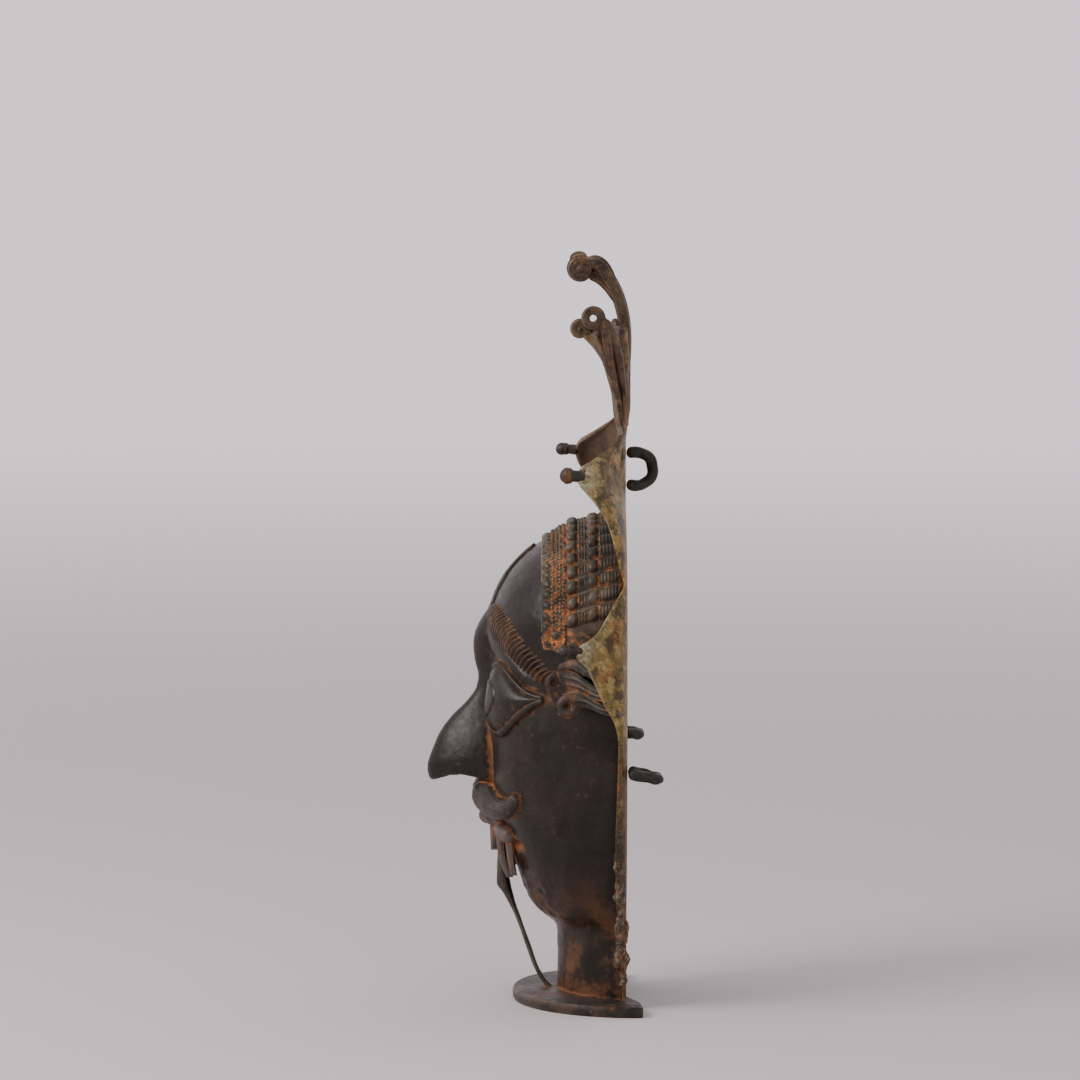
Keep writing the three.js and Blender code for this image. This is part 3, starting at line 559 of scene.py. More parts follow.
def fused(added, cut, voxel, smoothing):
    """The added solids as one, less the cut ones, evened out to a grain of voxel millimetres."""
    whole = show(added[0])
    tools = []
    for operation, meshes in (("UNION", added[1:]), ("DIFFERENCE", cut)):
        for mesh in meshes:
            tool = show(mesh)
            step = whole.modifiers.new("join", "BOOLEAN")
            step.operation = operation
            step.solver = "MANIFOLD"
            step.object = tool
            tools.append(tool)
    even = whole.modifiers.new("even", "REMESH")
    even.mode = "VOXEL"
    even.voxel_size = voxel * MM
    even.use_smooth_shade = True
    soften = whole.modifiers.new("soften", "SMOOTH")
    soften.factor = 0.5
    soften.iterations = smoothing
    mesh = baked(whole)
    for tool in tools:
        bpy.data.objects.remove(tool)
    attribute(mesh, "outer", np.zeros(len(mesh.vertices)))
    return mesh


def sculpted(mesh, change):
    """Moves the mesh's points along their normals by change(points), in millimetres."""
    points = mask_points(mesh)
    normals = read_normals(mesh) * [1, -1, 1]
    write_points(mesh, points + normals * change(points)[:, None])
    return mesh


def from_line(points, line):
    """Distance of each point from a smooth line."""
    path = Line(line).points[::6]
    nearest = np.full(len(points), 1e9)
    for stop in path:
        nearest = np.minimum(nearest, np.linalg.norm(points - stop, axis=1))
    return nearest


# The head

def face_section(z):
    """Half width, depth at the middle and fullness of the face at a height."""
    return [through(FACE_STATIONS, z, column) for column in (1, 2, 3)]


def head_depth(x, z):
    half, deep, tall = CRANIUM
    rest = 1 - (x / half) ** 2 - ((z - TEMPLE_Z) / tall) ** 2
    above = deep * np.sqrt(np.maximum(rest, 0))
    width, depth, fullness = face_section(z)
    below = depth * np.maximum(1 - np.abs(x / width) ** fullness, 0) ** (1 / fullness)
    return np.where(z >= TEMPLE_Z, above, below)


def socket(x, z):
    """How far the skin is pressed in between the eye and the nose."""
    return 6 * np.exp(-(((np.abs(x) - 19) / 9) ** 2) - ((z - 232) / 16) ** 2)


def on_head(x, z, lift):
    """Points lift above the bare head's skin, sockets included."""
    step = 0.5
    slope_x = (head_depth(x + step, z) - head_depth(x - step, z)) / (2 * step)
    slope_z = (head_depth(x, z + step) - head_depth(x, z - step)) / (2 * step)
    outward = unit(stack(-slope_x, 1, -slope_z))
    return stack(x, head_depth(x, z), z) + outward * (np.asarray(lift) - socket(x, z))[..., None]


def head_shape(shrink, bottom, back, across, rows):
    """The bare head down to bottom, drawn in by shrink and closed flat at the back."""
    crown_share = 0.32
    half, deep, tall = (size - shrink for size in CRANIUM)

    def place(u, v, w):
        turn = np.radians(mix(-90, 90, u))
        tilt = np.radians(mix(90, 0, np.clip(v / crown_share, 0, 1)))
        reach = 1 / np.hypot(np.cos(tilt) / deep, np.sin(tilt) / tall) * np.cos(turn)
        crown = stack(half * np.sin(turn), reach * np.cos(tilt), TEMPLE_Z + reach * np.sin(tilt))
        z = mix(TEMPLE_Z, bottom, np.clip((v - crown_share) / (1 - crown_share), 0, 1))
        side = np.abs(np.sin(turn))
        width, depth, fullness = face_section(z)
        bulge = np.maximum(1 - side**fullness, 0) ** (1 / fullness)
        face = stack((width - shrink) * side * np.sign(turn), (depth - shrink) * bulge, z)
        p = np.where((v <= crown_share)[:, None], crown, face)
        p[:, 1] = np.where(w > 0.5, back, np.maximum(p[:, 1], back + 0.5))
        return p

    return block(across, rows, place)


def nose_shape(shrink):
    top = NOSE_STATIONS[0][0] - 3 * shrink
    bottom = NOSE_STATIONS[-1][0] + shrink
    root = 70
    lift, start, length = 6.5, 146, 46

    def place(u, v, w):
        z = mix(top, bottom, v)
        side = 2 * u - 1
        x = (through(NOSE_STATIONS, z, 2) - shrink) * side
        ridge = through(NOSE_STATIONS, z, 1) - shrink
        skin = head_depth(x, z) - 1.5
        rise = (1 - np.abs(side) ** 1.8) ** 0.85
        depth = mix(root, mix(np.minimum(skin, ridge), ridge, rise), w)
        arch = lift * v**6 * np.sin(math.pi * np.clip((start - depth) / length, 0, 1))
        return stack(x, depth, z + arch)

    return block(40, 90, place, layers=10)


def eye_hollow():
    return ball((EYE["x"], EYE["depth"], EYE["z"]), [EYE["hollow"]] * 3, 48, 30)


def head_mesh():
    bottom = FOOT["thickness"] / 2
    added = [head_shape(0, bottom, RIM_RECESS, 120, 200), nose_shape(0)]
    cut = [head_shape(WALL, FOOT["thickness"], -6, 90, 120), nose_shape(WALL + 1)]
    cut += mirrored([eye_hollow()])
    cut += mirrored([ball((NOSTRIL["x"], NOSTRIL["depth"], NOSTRIL["z"]), NOSTRIL["radii"])])
    mesh = fused(added, cut, HEAD_GRAIN, HEAD_SMOOTHING)

    def near(p, line, size):
        q = stack(np.abs(p[:, 0]), p[:, 1], p[:, 2])
        return np.exp(-((from_line(q, line) / size) ** 2))

    def change(p):
        front = ease(p[:, 1], 60, 80)
        low = ease(-p[:, 2], -75, -30)
        chin = ease(p[:, 1], 48, 58) * ease(-p[:, 2], -98, -84)
        grain = 0.16 * rough(p, 4) + (0.12 + 0.5 * low) * rough(p, 14, 3) + 1.3 * chin * rough(p, 6, 8)
        pressed = 2.2 * near(p, WING_GROOVE, 2.6) + 5.5 * near(p, MOUTH_CORNER, 3.2)
        pressed = pressed - 1.6 * near(p, MOUTH_CORNER, 7)
        return grain - pressed - front * socket(p[:, 0], p[:, 2])

    sculpted(mesh, change)
    p = mask_points(mesh)
    stain = 0.9 * near(p, WING_GROOVE, 3.4) + 0.9 * near(p, MOUTH_CORNER, 7)
    stain += 0.7 * near(p, EYE_SEAM, 4) + 0.5 * near(p, CHIN_STAIN, 9)
    attribute(mesh, "stain", np.clip(stain, 0, 1))
    return mesh


def band_shape(low, high, nu, nv, proud):
    """A raised band between two edges drawn in the front view, proud(u, v) above the skin."""
    lower, upper = drawn(low), drawn(high)
    sunk = -3

    def place(u, v, w):
        p = mix(lower.at(u), upper.at(u), v[:, None])
        return on_head(p[:, 0], p[:, 2], np.where(w < 0.5, sunk, proud(u, v)))

    return block(nu, nv, place)


def brows_mesh():
    """Each brow is a smooth lip with cords that rise from it and bend back to the temple."""

    def swelling(u, v):
        ends = np.minimum(1, np.minimum(10 * u, 7 * (1 - u)))
        lip = 3.8 * hump(v, 0.17, 0.2)
        return ends * np.maximum(lip, mix(2.4, -0.8, ease(v, 0.2, 1.0))) - 0.4

    parts = [band_shape(BROW_LIP, BROW_TOP, 150, 34, swelling)]
    lip, top = drawn(BROW_LIP), drawn(BROW_TOP)
    reach, rise, lift, radii = np.array(BROW_CORD).T
    for i in range(BROW_CORDS):
        share = (i + 0.4) / BROW_CORDS
        size = 1 - 0.3 * abs(2 * share - 0.8) ** 3
        start = mix(lip.at(share), top.at(share), 0.26)
        end = top.at(min(share + 0.04, 1))
        line = on_head(mix(start[0], end[0], reach), mix(start[2], end[2], rise), size * lift)
        parts.append(rod(line, spread([*(size * radii[:-1]), radii[-1]]), 14, 28))
    return gathered(mirrored(parts))


def forehead_mesh():
    """Two overlapping bars down the middle of the forehead, the lower wider."""
    parts = []
    for bottom, top, half, proud in FOREHEAD_BARS:
        low = [[-half, bottom], [0, bottom - 2], [half, bottom]]
        high = [[-half, top], [0, top + 2], [half, top]]

        def rise(u, v, proud=proud):
            edge = np.minimum(1, np.minimum(6 * u, 6 * (1 - u)))
            return proud * (0.55 + 0.45 * edge * hump(u, 0.5, 0.62))

        parts.append(band_shape(low, high, 24, 40, rise))
    return gathered(parts)


def lids_mesh():
    """The swell of the eye with the low disc of its iris, and the lids as modelled rods."""
    lower, upper = drawn(LOWER_LID), drawn(UPPER_LID)

    def swelling(u, v, w):
        p = mix(lower.at(u), upper.at(u), v[:, None])
        x, z = p[:, 0], p[:, 2]
        swell = EYE["swell"] * np.sin(math.pi * np.clip(v, 0, 1)) ** 0.5
        swell = swell * np.sin(math.pi * np.clip(u, 0, 1)) ** 0.6
        off = np.hypot(x - IRIS["x"], z - IRIS["z"]) - IRIS["radius"]
        disc = IRIS["proud"] * (1 - ease(off, -0.5, 0.5)) - 0.6 * np.exp(-(((off - 0.9) / 0.8) ** 2))
        return on_head(x, z, np.where(w < 0.5, -3, swell + disc * ease(swell, 0, 4)))

    parts = [block(84, 66, swelling)]
    for rows, radii in ((UPPER_LID, UPPER_LID_RADII), (LOWER_LID, LOWER_LID_RADII)):
        x, z = np.array(rows, float).T
        parts.append(rod(on_head(x, z, np.full(len(x), 1.4)), spread(radii), 18, 90, wide=(0, 1, 0)))
    return gathered(mirrored(parts))


# The crown

def on_crown(angle, depth, lift):
    """Points over the cranium's section at depth, angle degrees round from the crown's top."""
    half, deep, tall = CRANIUM
    rest = np.sqrt(1 - (depth / deep) ** 2)
    a = np.radians(angle)
    x, rise = half * rest * np.sin(a), tall * rest * np.cos(a)
    outward = unit(stack(x / half**2, depth / deep**2, rise / tall**2))
    return stack(x, depth, TEMPLE_Z + rise) + outward * np.asarray(lift)[..., None]


def lump(a, b, power=2.0):
    """A round lump over the unit square's inscribed shape: power 2 is a ball, more is squarer."""
    return np.clip(1 - np.abs(a) ** power - np.abs(b) ** power, 0, 1) ** (1 / power)


def pitch_of(angle, spread_deg, count):
    """Which of count equal pitches an angle is in, and how far from its middle, -0.5 to 0.5."""
    turns = (angle + spread_deg / 2) / (spread_deg / count)
    index = np.floor(turns)
    return index, turns - index - 0.5


def rib_height(angle, depth):
    slanted = angle + RIB_SLANT * (43 - depth) * np.sin(np.radians(angle))
    index, across = pitch_of(slanted, RIB_SPREAD, RIB_COUNT)
    wobble = np.array([noise.noise(Vector((i * 1.7, 2.5, 0.3))) for i in index])
    body = hump(across, 0, 0.44)
    tail = mix(4.2, 5.0, ease(depth, 2, 16)) + 0.25 * np.cos(depth * 2.6 + index)
    core = np.where(depth > 20, 3.6, tail) * ease(44 - depth, 0, 2)
    height = core * body**0.7
    for centre, half, top in RIB_BEADS:
        bead = lump(across / 0.43, (depth - centre - 0.6 * wobble) / half, 2.6)
        height = np.maximum(height, top * (1 + 0.1 * wobble) * bead)
    for centre, top in RIB_RINGS:
        height = np.maximum(height, top * body**0.8 * hump(depth, centre, 1.05) ** 0.6)
    return np.where(np.abs(slanted) < RIB_SPREAD / 2, height, 0) - 0.4


def oval_height(angle, depth):
    index, across = pitch_of(angle, BEAD_SPREAD, BEAD_COUNT)
    wobble = np.array([noise.noise(Vector((i * 2.3, 7.5, 0.9))) for i in index])
    lean = (0.2 + 0.2 * wobble) * (depth - 59.2) / 3.6
    oval = lump((across + lean) / 0.44, (depth - 59.0 - 0.4 * wobble) / 3.5, 2.2)
    oval = 3.2 * (1 + 0.15 * wobble) * oval
    return np.where(np.abs(angle) < BEAD_SPREAD / 2, oval, 0)


def pearl_height(angle, depth):
    ground = mix(2.6, 1.3, ease(depth, 45, 56))
    height = ground
    for column, (centre, radius, top) in enumerate(PEARL_COLUMNS):
        pitch = 2 * radius + 0.35
        along = np.radians(angle) * PEARL_ROUND
        step = along / pitch + 0.5 * (column % 2)
        index = np.floor(step)
        jitter = np.array([noise.noise(Vector((i * 3.3, column * 5.1, 1.9))) for i in index])
        across = (step - index - 0.5) * pitch
        pearl = top * (1 + 0.5 * jitter) * lump(across / radius, (depth - centre - 0.7 * jitter) / radius)
        height = np.maximum(height, ground + pearl)
    return height


def crown_mesh():
    """Ribs turned like spindles, a net of pearls and a row of oval beads, over the cranium."""

    def place(u, v, w):
        angle = mix(-CROWN_SPREAD / 2, CROWN_SPREAD / 2, u)
        depth = mix(*CROWN_DEPTHS, v)
        strip = mix(1.7, 0.7, ease(depth, 42, 58)) * ease(CROWN_SPREAD / 2 - np.abs(angle), 0, 1.5)
        strip = strip * ease(63 - depth, 0, 2.5)
        pearls = np.where(np.abs(angle) < PEARL_REACH, pearl_height(angle, depth), 0)
        front = np.maximum(strip, np.where(depth > OVALS_START, oval_height(angle, depth), pearls))
        height = np.where(depth > RIBS_END, front, np.maximum(rib_height(angle, depth), strip))
        return on_crown(angle, depth, np.where(w < 0.5, -1.8, height))

    knot = sculpted(ball(*CROWN_KNOT), lambda p: 0.5 * rough(p, 3, 23))
    fold = rod(CROWN_FOLD, spread([1.2, 2.8, 2.6, 1.2]), 24, 60, 1.7, (0, 0, 1))
    mesh = gathered([block(430, 104, place), *mirrored([knot, fold])])
    attribute(mesh, "stain", 0.4 * ease(291 - mask_points(mesh)[:, 2], 0, 9))
    return mesh


# The frame

def frame_inner(entry):
    """Where the dish leaves the head, across from an entry of its outer edge."""
    half, _, tall = CRANIUM
    edge_x, edge_z, _ = FRAME_EDGE[entry]
    if entry > CROWN_TOP_ENTRY:
        share = (entry - CROWN_TOP_ENTRY) / (len(FRAME_EDGE) - 1 - CROWN_TOP_ENTRY)
        return [0, mix(TEMPLE_Z + tall, CREST["bottom"] + 20, share)]
    if edge_z > TEMPLE_Z:
        side = math.atan2(edge_x / half, (edge_z - TEMPLE_Z) / tall)
        top_x, top_z, _ = FRAME_EDGE[CROWN_TOP_ENTRY]
        least = math.atan2(top_x / half, (top_z - TEMPLE_Z) / tall)
        angle = (math.pi / 2) * ((side - least) / (math.pi / 2 - least))
        return [(half - WALL / 2) * math.sin(angle), TEMPLE_Z + (tall - WALL / 2) * math.cos(angle)]
    return [float(through(FACE_STATIONS, edge_z, 1)) - WALL / 2, edge_z]


FRAME_STATIONS = [[i, *row, *frame_inner(i)] for i, row in enumerate(FRAME_EDGE)]


def frame_point(along, across, side):
    """The dish from the head (across 0) to its edge (across 1), turned forward like a quarter round."""
    key = along * (len(FRAME_EDGE) - 1)
    edge_x, edge_z, height, inner_x, inner_z = (through(FRAME_STATIONS, key, c) for c in range(1, 6))
    lift = RIGHT_PETAL_LIFT * ease(edge_z, 370, 425) * across if side < 0 else 0
    turn = across * math.pi / 2
    out = np.sin(turn) ** 0.8
    forward = 1 - np.maximum(np.cos(turn), 0) ** 0.8
    return stack(side * mix(inner_x, edge_x, out), height * forward, mix(inner_z, edge_z, out) + lift)


def frame_mesh():
    """Both halves of the dished frame, its edge thickened and its lower rim lumpy with corrosion."""
    parts = []
    chance = np.random.default_rng(5)
    for side in (1, -1):

        def place(u, v, w, side=side):
            step = 0.004
            p = frame_point(u, v, side)
            du = frame_point(np.minimum(u + step, 1), v, side) - frame_point(np.maximum(u - step, 0), v, side)
            dv = frame_point(u, np.minimum(v + step, 1), side) - frame_point(u, np.maximum(v - step, 0), side)
            inward = unit(np.cross(du, dv))
            inward = np.where(inward[:, 1:2] < 0, -inward, inward)
            low = ease(-p[:, 2], -150, -105)
            lumps = (2.1 * rough(p, 8, 1) + 1.3 * rough(p, 3.4, 4)) * low + rough(p, 22, 2) * 0.5
            thick = SHEET + 0.6 * ease(v, 0.86, 0.97) + lumps * ease(v, 0.1, 0.3)
            edge = ease(np.abs(w - 0.5), 0.2, 0.5) * ease(v, 0.985, 1) * 0.8
            p = p - inward * (np.clip(1 - 2 * w, 0, 1) * lumps * ease(v, 0.2, 0.6))[:, None]
            p = p + inward * (w * thick)[:, None] - dv / np.linalg.norm(dv, axis=1)[:, None] * edge[:, None]
            p[:, 1] = np.maximum(p[:, 1], 0)
            return p

        parts.append(block(330, 34, place, layers=3, outer=lambda u, v, w: 1.0 * (w < 0.4)))
        for k in range(CRUST_LUMPS):
            along, inward, forward, size = chance.random(4)
            size = size**2
            share = mix(*CRUST_SPAN, (k + along) / CRUST_LUMPS)
            spot = frame_point(np.array([share]), np.array([0.95]), side)[0]
            spot = spot + [-side * 5 * inward, 3.5 * forward - 2.5, 0]
            grain = ball(spot, (3 + 2.5 * size, 2.5 + 3.5 * size, 4 + 8 * size), 24, 18)
            parts.append(sculpted(grain, lambda p: 1.7 * rough(p, 5, 31) + 0.9 * rough(p, 2.2, 32)))
    mesh = gathered(parts)
    points = mask_points(mesh)
    # Painted highlight: the near petals' tips round their knobs are marked pale, as where they catch the
    # light; the far petals get none.
    pale = np.zeros(len(points))
    for side, x, depth, z, radius, _ in KNOBS:
        distance = np.linalg.norm(points - [side * x, depth - 10, z], axis=1)
        pale = np.maximum(pale, np.exp(-((distance / (radius + 5)) ** 2)) * (side > 0))
    attribute(mesh, "pale", pale)
    return mesh


def knob_shape(side, x, depth, z, radius, stem):
    line = [[side * (x - 1), depth - 16, z - 1], [side * x, depth - 6, z], [side * x, depth + 3, z]]
    rows = [[0, stem], [0.45, stem * 0.97], [0.6, radius * 0.98]]
    rows += [[0.66, radius * 0.94], [0.72, radius], [1, radius * 0.92]]
    mesh = rod(line, rows, 28, 70)
    return sculpted(mesh, lambda p: 0.3 * rough(p, 4, 20))


def leaf_shape(top, bottom, thick, ribs):
    """A slab between two edges, with ribs along it and its outer side rounded."""
    upper, lower = Line(top), Line(bottom)

    def place(u, v, w):
        p = mix(lower.at(u), upper.at(u), v[:, None])
        along = lower.along(u)
        out = unit(np.cross(along, upper.at(u) - lower.at(u)))
        out = np.where(out[:, :1] < 0, -out, out)
        ridge = 1.1 * np.abs(np.cos(math.pi * ribs * v)) ** 5 * ease(u, 0.02, 0.2)
        half = thick / 2 * (1 - np.abs(2 * v - 1) ** 6 * 0.8)
        return p + out * ((2 * w - 1) * half + ridge * (w > 0.5))[:, None]

    return block(70, 36, place, layers=2)


def ears_mesh():
    """Behind each eye two rolled leaf ends with their leaves, and the knobs on the petals."""

    def dents(a, b):
        return 0.2 * np.cos(3 * a + 1) * np.cos(b)

    parts = [ring(centre, major, minor, 40, 24, dents) for centre, major, minor in EAR_ROLLS]
    parts += [leaf_shape(*leaf) for leaf in EAR_LEAVES]
    lobe = rod(EAR_LOBE, spread([1.8, 3.6, 4.4, 4.2, 3]), 30, 80)
    parts.append(sculpted(lobe, lambda p: 0.7 * rough(p, 4, 21) + 0.35 * rough(p, 1.8, 22)))
    return gathered([*mirrored(parts), *[knob_shape(*knob) for knob in KNOBS]])


# The crest

def crest_sheet():
    def place(u, v, w):
        z = mix(CREST["bottom"], CREST["top"], v)
        side = 2 * u - 1
        fold = 0.5 - 0.5 * np.cos(math.pi * 2 * CREST["flutes"] * np.abs(side))
        lean = CREST["lean_back"] * ease(z, 418, 450)
        turned = through(CREST_STATIONS, z, 2) * side**2 - lean
        veins = 0.45 * np.cos(math.pi * 9 * CREST["flutes"] * side) * ease(v, 0.1, 0.5)
        depth = turned + CREST["flute_depth"] * fold * v**0.5
        depth = depth + np.where(w < 0.5, -0.5 * veins, CREST["thickness"] + veins)
        return stack(through(CREST_STATIONS, z, 1) * side, np.maximum(depth, -lean), z + 5 * fold * v**8)

    return block(170, 60, place, outer=lambda u, v, w: 1.0 * (w < 0.5))


def frond_shape(spine, half, flatness, roll, hub):
    """A ribbon that rolls up at its end. A roll is counted in degrees from its back, over its top."""
    x, depth, z, radius, start, end = roll
    coil = []
    for t in np.linspace(0, 1, 12):
        angle = math.radians(mix(start, end, t))
        arm = radius * (1 - 0.2 * t * t)
        coil.append([x, depth - arm * math.cos(angle), z + arm * math.sin(angle)])
    coil_start = Line(spine + coil[:1]).length / Line(spine + coil).length
    rows = [[0, half * 0.25], [coil_start * 0.6, half * 0.92], [coil_start, half], [1, half * 0.85]]

    def ridges(angle, share):
        return 0.14 * half * np.cos(3 * math.pi * np.cos(angle)) * ease(share, 0.02, 0.15)

    parts = [rod(spine + coil, rows, 48, 170, flatness=flatness, relief=ridges)]
    if hub:
        reach = half * flatness * 0.95
        axle = [[x - reach, depth, z], [x, depth, z], [x + reach, depth, z]]
        parts.append(rod(axle, [[0, hub], [1, hub]], 24, 30, wide=(0, 0, 1)))
    return gathered(parts)


def crest_mesh():
    tips = []
    for x, depth, z, lean, rise in LEAF_TIPS:
        line = [[x * 0.62, 2.5, 432], [x * 0.75, 2.5, 455], [x * 0.92, depth * 0.7, z - 18]]
        line += [[x, depth + lean * 0.3, z], [x, depth + lean, z + rise]]
        radii = [[0, 0.8], [0.35, 2.2], [0.7, 4.2], [0.88, 4.6], [1, 2.2]]
        tips.append(rod(line, radii, 24, 60, relief=lambda a, s: 0.3 * np.cos(4 * a)))
    fronds = [frond_shape(**frond) for frond in FRONDS.values()]

    def ribbed(angle, share):
        return 0.65 * np.cos(5 * math.pi * np.cos(angle)) * ease(share * (1 - share), 0, 0.06)

    clasps = [
        rod(line, spread(radii), 56, 50, flatness=wider, relief=ribbed)
        for line, radii, wider in CLASPS
    ]
    return gathered([crest_sheet(), *fronds, *clasps, *mirrored(tips)])


# The mouth

def hairs(count, depth, twist):
    """Grooves along a rod, twisting round it and fading at its ends."""

    def relief(angle, share):
        return depth * np.cos(count * (angle + twist * share)) * ease(share * (1 - share), 0, 0.05)

    return relief


def slab_shape(inner_x, outer_x, middle, thick_top, thick_bottom):
    """A hanging slab, round in front, with hair grooves and a round lower end."""
    spine = Line([[0, depth, z] for depth, z in middle])

    def place(u, v, w):
        narrowing = np.where(v > 0.5, 1 - 0.35 * (2 * v - 1) ** 2, 1)
        x = (inner_x + outer_x) / 2 + (u - 0.5) * (outer_x - inner_x) * narrowing
        p = spine.at(v)
        thick = mix(thick_top, thick_bottom, v) * (1 - 0.5 * (2 * u - 1) ** 2)
        round_end = 3 * (1 - np.cos(math.pi * (u - 0.5))) * v**4
        hair = 0.4 * np.cos(math.pi * 9 * u) * ease(w, 0.5, 1)
        return stack(x, p[:, 1] + (w - 0.5) * thick + hair, p[:, 2] + round_end)

    return block(30, 36, place, layers=3)


def mouth_mesh():
    """The moustache's lobes, the teeth, the lower lip, the tongue and the beard's locks."""
    curl = ball(*CURL)
    lobe = rod(MOUSTACHE_LINE, spread(MOUSTACHE_RADII), 80, 100, wide=(0, 0, 1), relief=hairs(16, 0.2, 1.2))
    lip = rod(LIP_LINE, spread(LIP_RADII), 28, 60, wide=(0, 0, 1))

    def teeth(u, v, w):
        x = mix(-TEETH["half"], TEETH["half"], u)
        tooth = np.abs(np.sin(math.pi * TEETH["count"] * u)) ** 0.5
        front = TEETH["depth"] - TEETH["bow"] * x * x - 1.8 * (1 - tooth) - 3 * (2 * v - 1) ** 2
        low = TEETH["bottom"] + 0.9 * (1 - tooth)
        return stack(x, np.where(w < 0.5, TEETH["root"], front), mix(TEETH["top"], low, v))

    sides = mirrored([curl, lobe, lip, *[slab_shape(*lock) for lock in LOCKS]])
    return gathered([block(120, 24, teeth), slab_shape(*TONGUE), *sides])


# The foot, the stay and the loops

def foot_mesh():
    """A half-round plate with ears that sweep back past the neck, its edges worn round."""
    near, far = FOOT["ears"]
    centre, radius, notch, half = (FOOT[key] for key in ("centre", "radius", "notch", "notch_half"))
    start, end = math.asin((near - centre) / radius), math.pi - math.asin((far - centre) / radius)
    corners = [(radius * math.cos(start), near), (radius * math.cos(end), far)]
    bends = [
        (mix(sign * half, x, 0.55), depth + lift)
        for (x, depth), sign, lift in zip(corners, (1, -1), (3, 0.5))
    ]
    back = [corners[0], bends[0], (half, notch), (-half, notch), bends[1], corners[1]]
    rear = Line([[x, depth, 0] for x, depth in back])

    def place(u, v, w):
        theta = mix(start, end, u)
        rim = stack(radius * np.cos(theta), centre + radius * np.sin(theta), 0)
        p = mix(rear.at(u), rim, v[:, None])
        middle = np.array([0, 30, 0])
        edge = np.minimum(np.minimum(v, 1 - v), np.minimum(u, 1 - u)) < 0.001
        inset = np.where(edge & (np.abs(w - 0.5) > 0.45), 0.9, 0)
        p = p + unit(middle - p) * inset[:, None]
        p[:, 2] = FOOT["thickness"] * w
        corner = np.exp(-((np.linalg.norm(p[:, :2] - corners[0], axis=1) / 22) ** 2))
        uneven = 0.35 * rough(p, 18, 5) + (0.2 + 1.2 * corner) * rough(p, 5, 6)
        p[:, 2] += uneven * (w > 0.9)
        return p

    return block(160, 40, place, layers=4)


def stay_mesh():
    rows = [[z, depth, half, thick] for depth, z, half, thick in STAY_LINE]
    foot, top = FOOT["thickness"] + 0.3, rows[-1][0]

    def place(u, v, w):
        z = mix(foot, top, v)
        side = 2 * u - 1
        thick = through(rows, z, 3) * (1 - 0.45 * side**2) + 0.5 * hump(side, 0, 0.25) * (w > 0.9)
        x = through(rows, z, 2) * side * mix(1, 0.82, ease(np.abs(w - 0.5), 0.3, 0.5))
        return stack(x, through(rows, z, 1) + (w - 0.5) * thick, z)

    return block(20, 160, place, layers=4)


def flush(p):
    """A loop's ends are dressed flat against the back."""
    p[:, 1] = np.minimum(p[:, 1], -0.3)
    return p


def loop_mesh(line, bar, seed, wide):
    rows = spread([bar * 1.1, bar, bar, bar, bar * 1.1])
    mesh = rod(line, rows, 32, 150, wide=wide, relief=lambda a, s: 0.18 * np.cos(3 * a + 26 * s), trim=flush)
    return sculpted(mesh, lambda p: 0.35 * rough(p, 5, seed) * ease(-p[:, 1], 1, 5))


def top_loop():
    low, high, reach = TOP_LOOP["low"], TOP_LOOP["high"], TOP_LOOP["reach"]
    middle = (low + high) / 2
    line = [[0, -0.3, low], [0, -reach * 0.6, low], [0, -reach, mix(low, middle, 0.5)]]
    line += [[0, -reach, mix(high, middle, 0.5)], [0, -reach * 0.6, high], [0, -0.3, high]]
    return loop_mesh(line, TOP_LOOP["bar"], 11, (1, 0, 0))


def side_loop(side, reach, z, droop):
    line = []
    for offset, out in ((-1, 0), (-1, 0.6), (-0.5, 1), (0.5, 1), (1, 0.6), (1, 0)):
        x = side * (SIDE_LOOP["x"] + offset * SIDE_LOOP["spread"])
        line.append([x, -0.3 - out * (reach - 0.3), z - droop * out])
    return loop_mesh(line, SIDE_LOOP["bar"], 12 + side, (0, 0, 1))


# Age and patina

CRUST_REACH = 0.008
LOOKS = 30


def looks():
    """Directions spread evenly over a sphere."""
    i = np.arange(LOOKS)
    z = 1 - 2 * (i + 0.5) / LOOKS
    turn = math.pi * (1 + math.sqrt(5)) * i
    return stack(np.sqrt(1 - z * z) * np.cos(turn), np.sqrt(1 - z * z) * np.sin(turn), z)


def weathered(meshes):
    """Marks every point with its crust, where others crowd it, and its wear, where it stands out."""
    bm = bmesh.new()
    for mesh in meshes:
        bm.from_mesh(mesh)
    tree = BVHTree.FromBMesh(bm)
    bm.free()
    directions = looks()
    rays = [Vector(direction) for direction in directions]
    for mesh in meshes:
        places = read_points(mesh)
        normals = read_normals(mesh)
        facing = normals @ directions.T > 0.25
        starts = places + normals * 0.4 * MM
        crowded = np.zeros(len(places))
        for i, start in enumerate(starts):
            start = Vector(start)
            chosen = np.flatnonzero(facing[i])
            for j in chosen:
                distance = tree.ray_cast(start, rays[j], CRUST_REACH)[3]
                if distance is not None:
                    crowded[i] += (1 - distance / CRUST_REACH) / len(chosen)
        attribute(mesh, "crust", crowded)
        attribute(mesh, "wear", standing_out(mesh, places, normals))


def standing_out(mesh, places, normals):
    """How far each point stands out from its neighbours, from 0 to 1."""
    ends = np.empty(2 * len(mesh.edges), np.int32)
    mesh.edges.foreach_get("vertices", ends)
    a, b = ends.reshape(-1, 2).T
    here, there = np.concatenate([a, b]), np.concatenate([b, a])
    total = np.maximum(np.bincount(here, minlength=len(places)), 1)

    def average(values):
        return np.bincount(here, values[there], len(places)) / total

    middle = np.stack([average(column) for column in places.T], axis=-1)
    lengths = np.bincount(here, np.linalg.norm(places[here] - places[there], axis=1), len(places)) / total
    proud = np.sum((places - middle) * normals, axis=1) / np.maximum(lengths, 1e-6)
    for _ in range(3):
        proud = 0.5 * proud + 0.5 * average(proud)
    return np.clip(proud * 4, 0, 1)


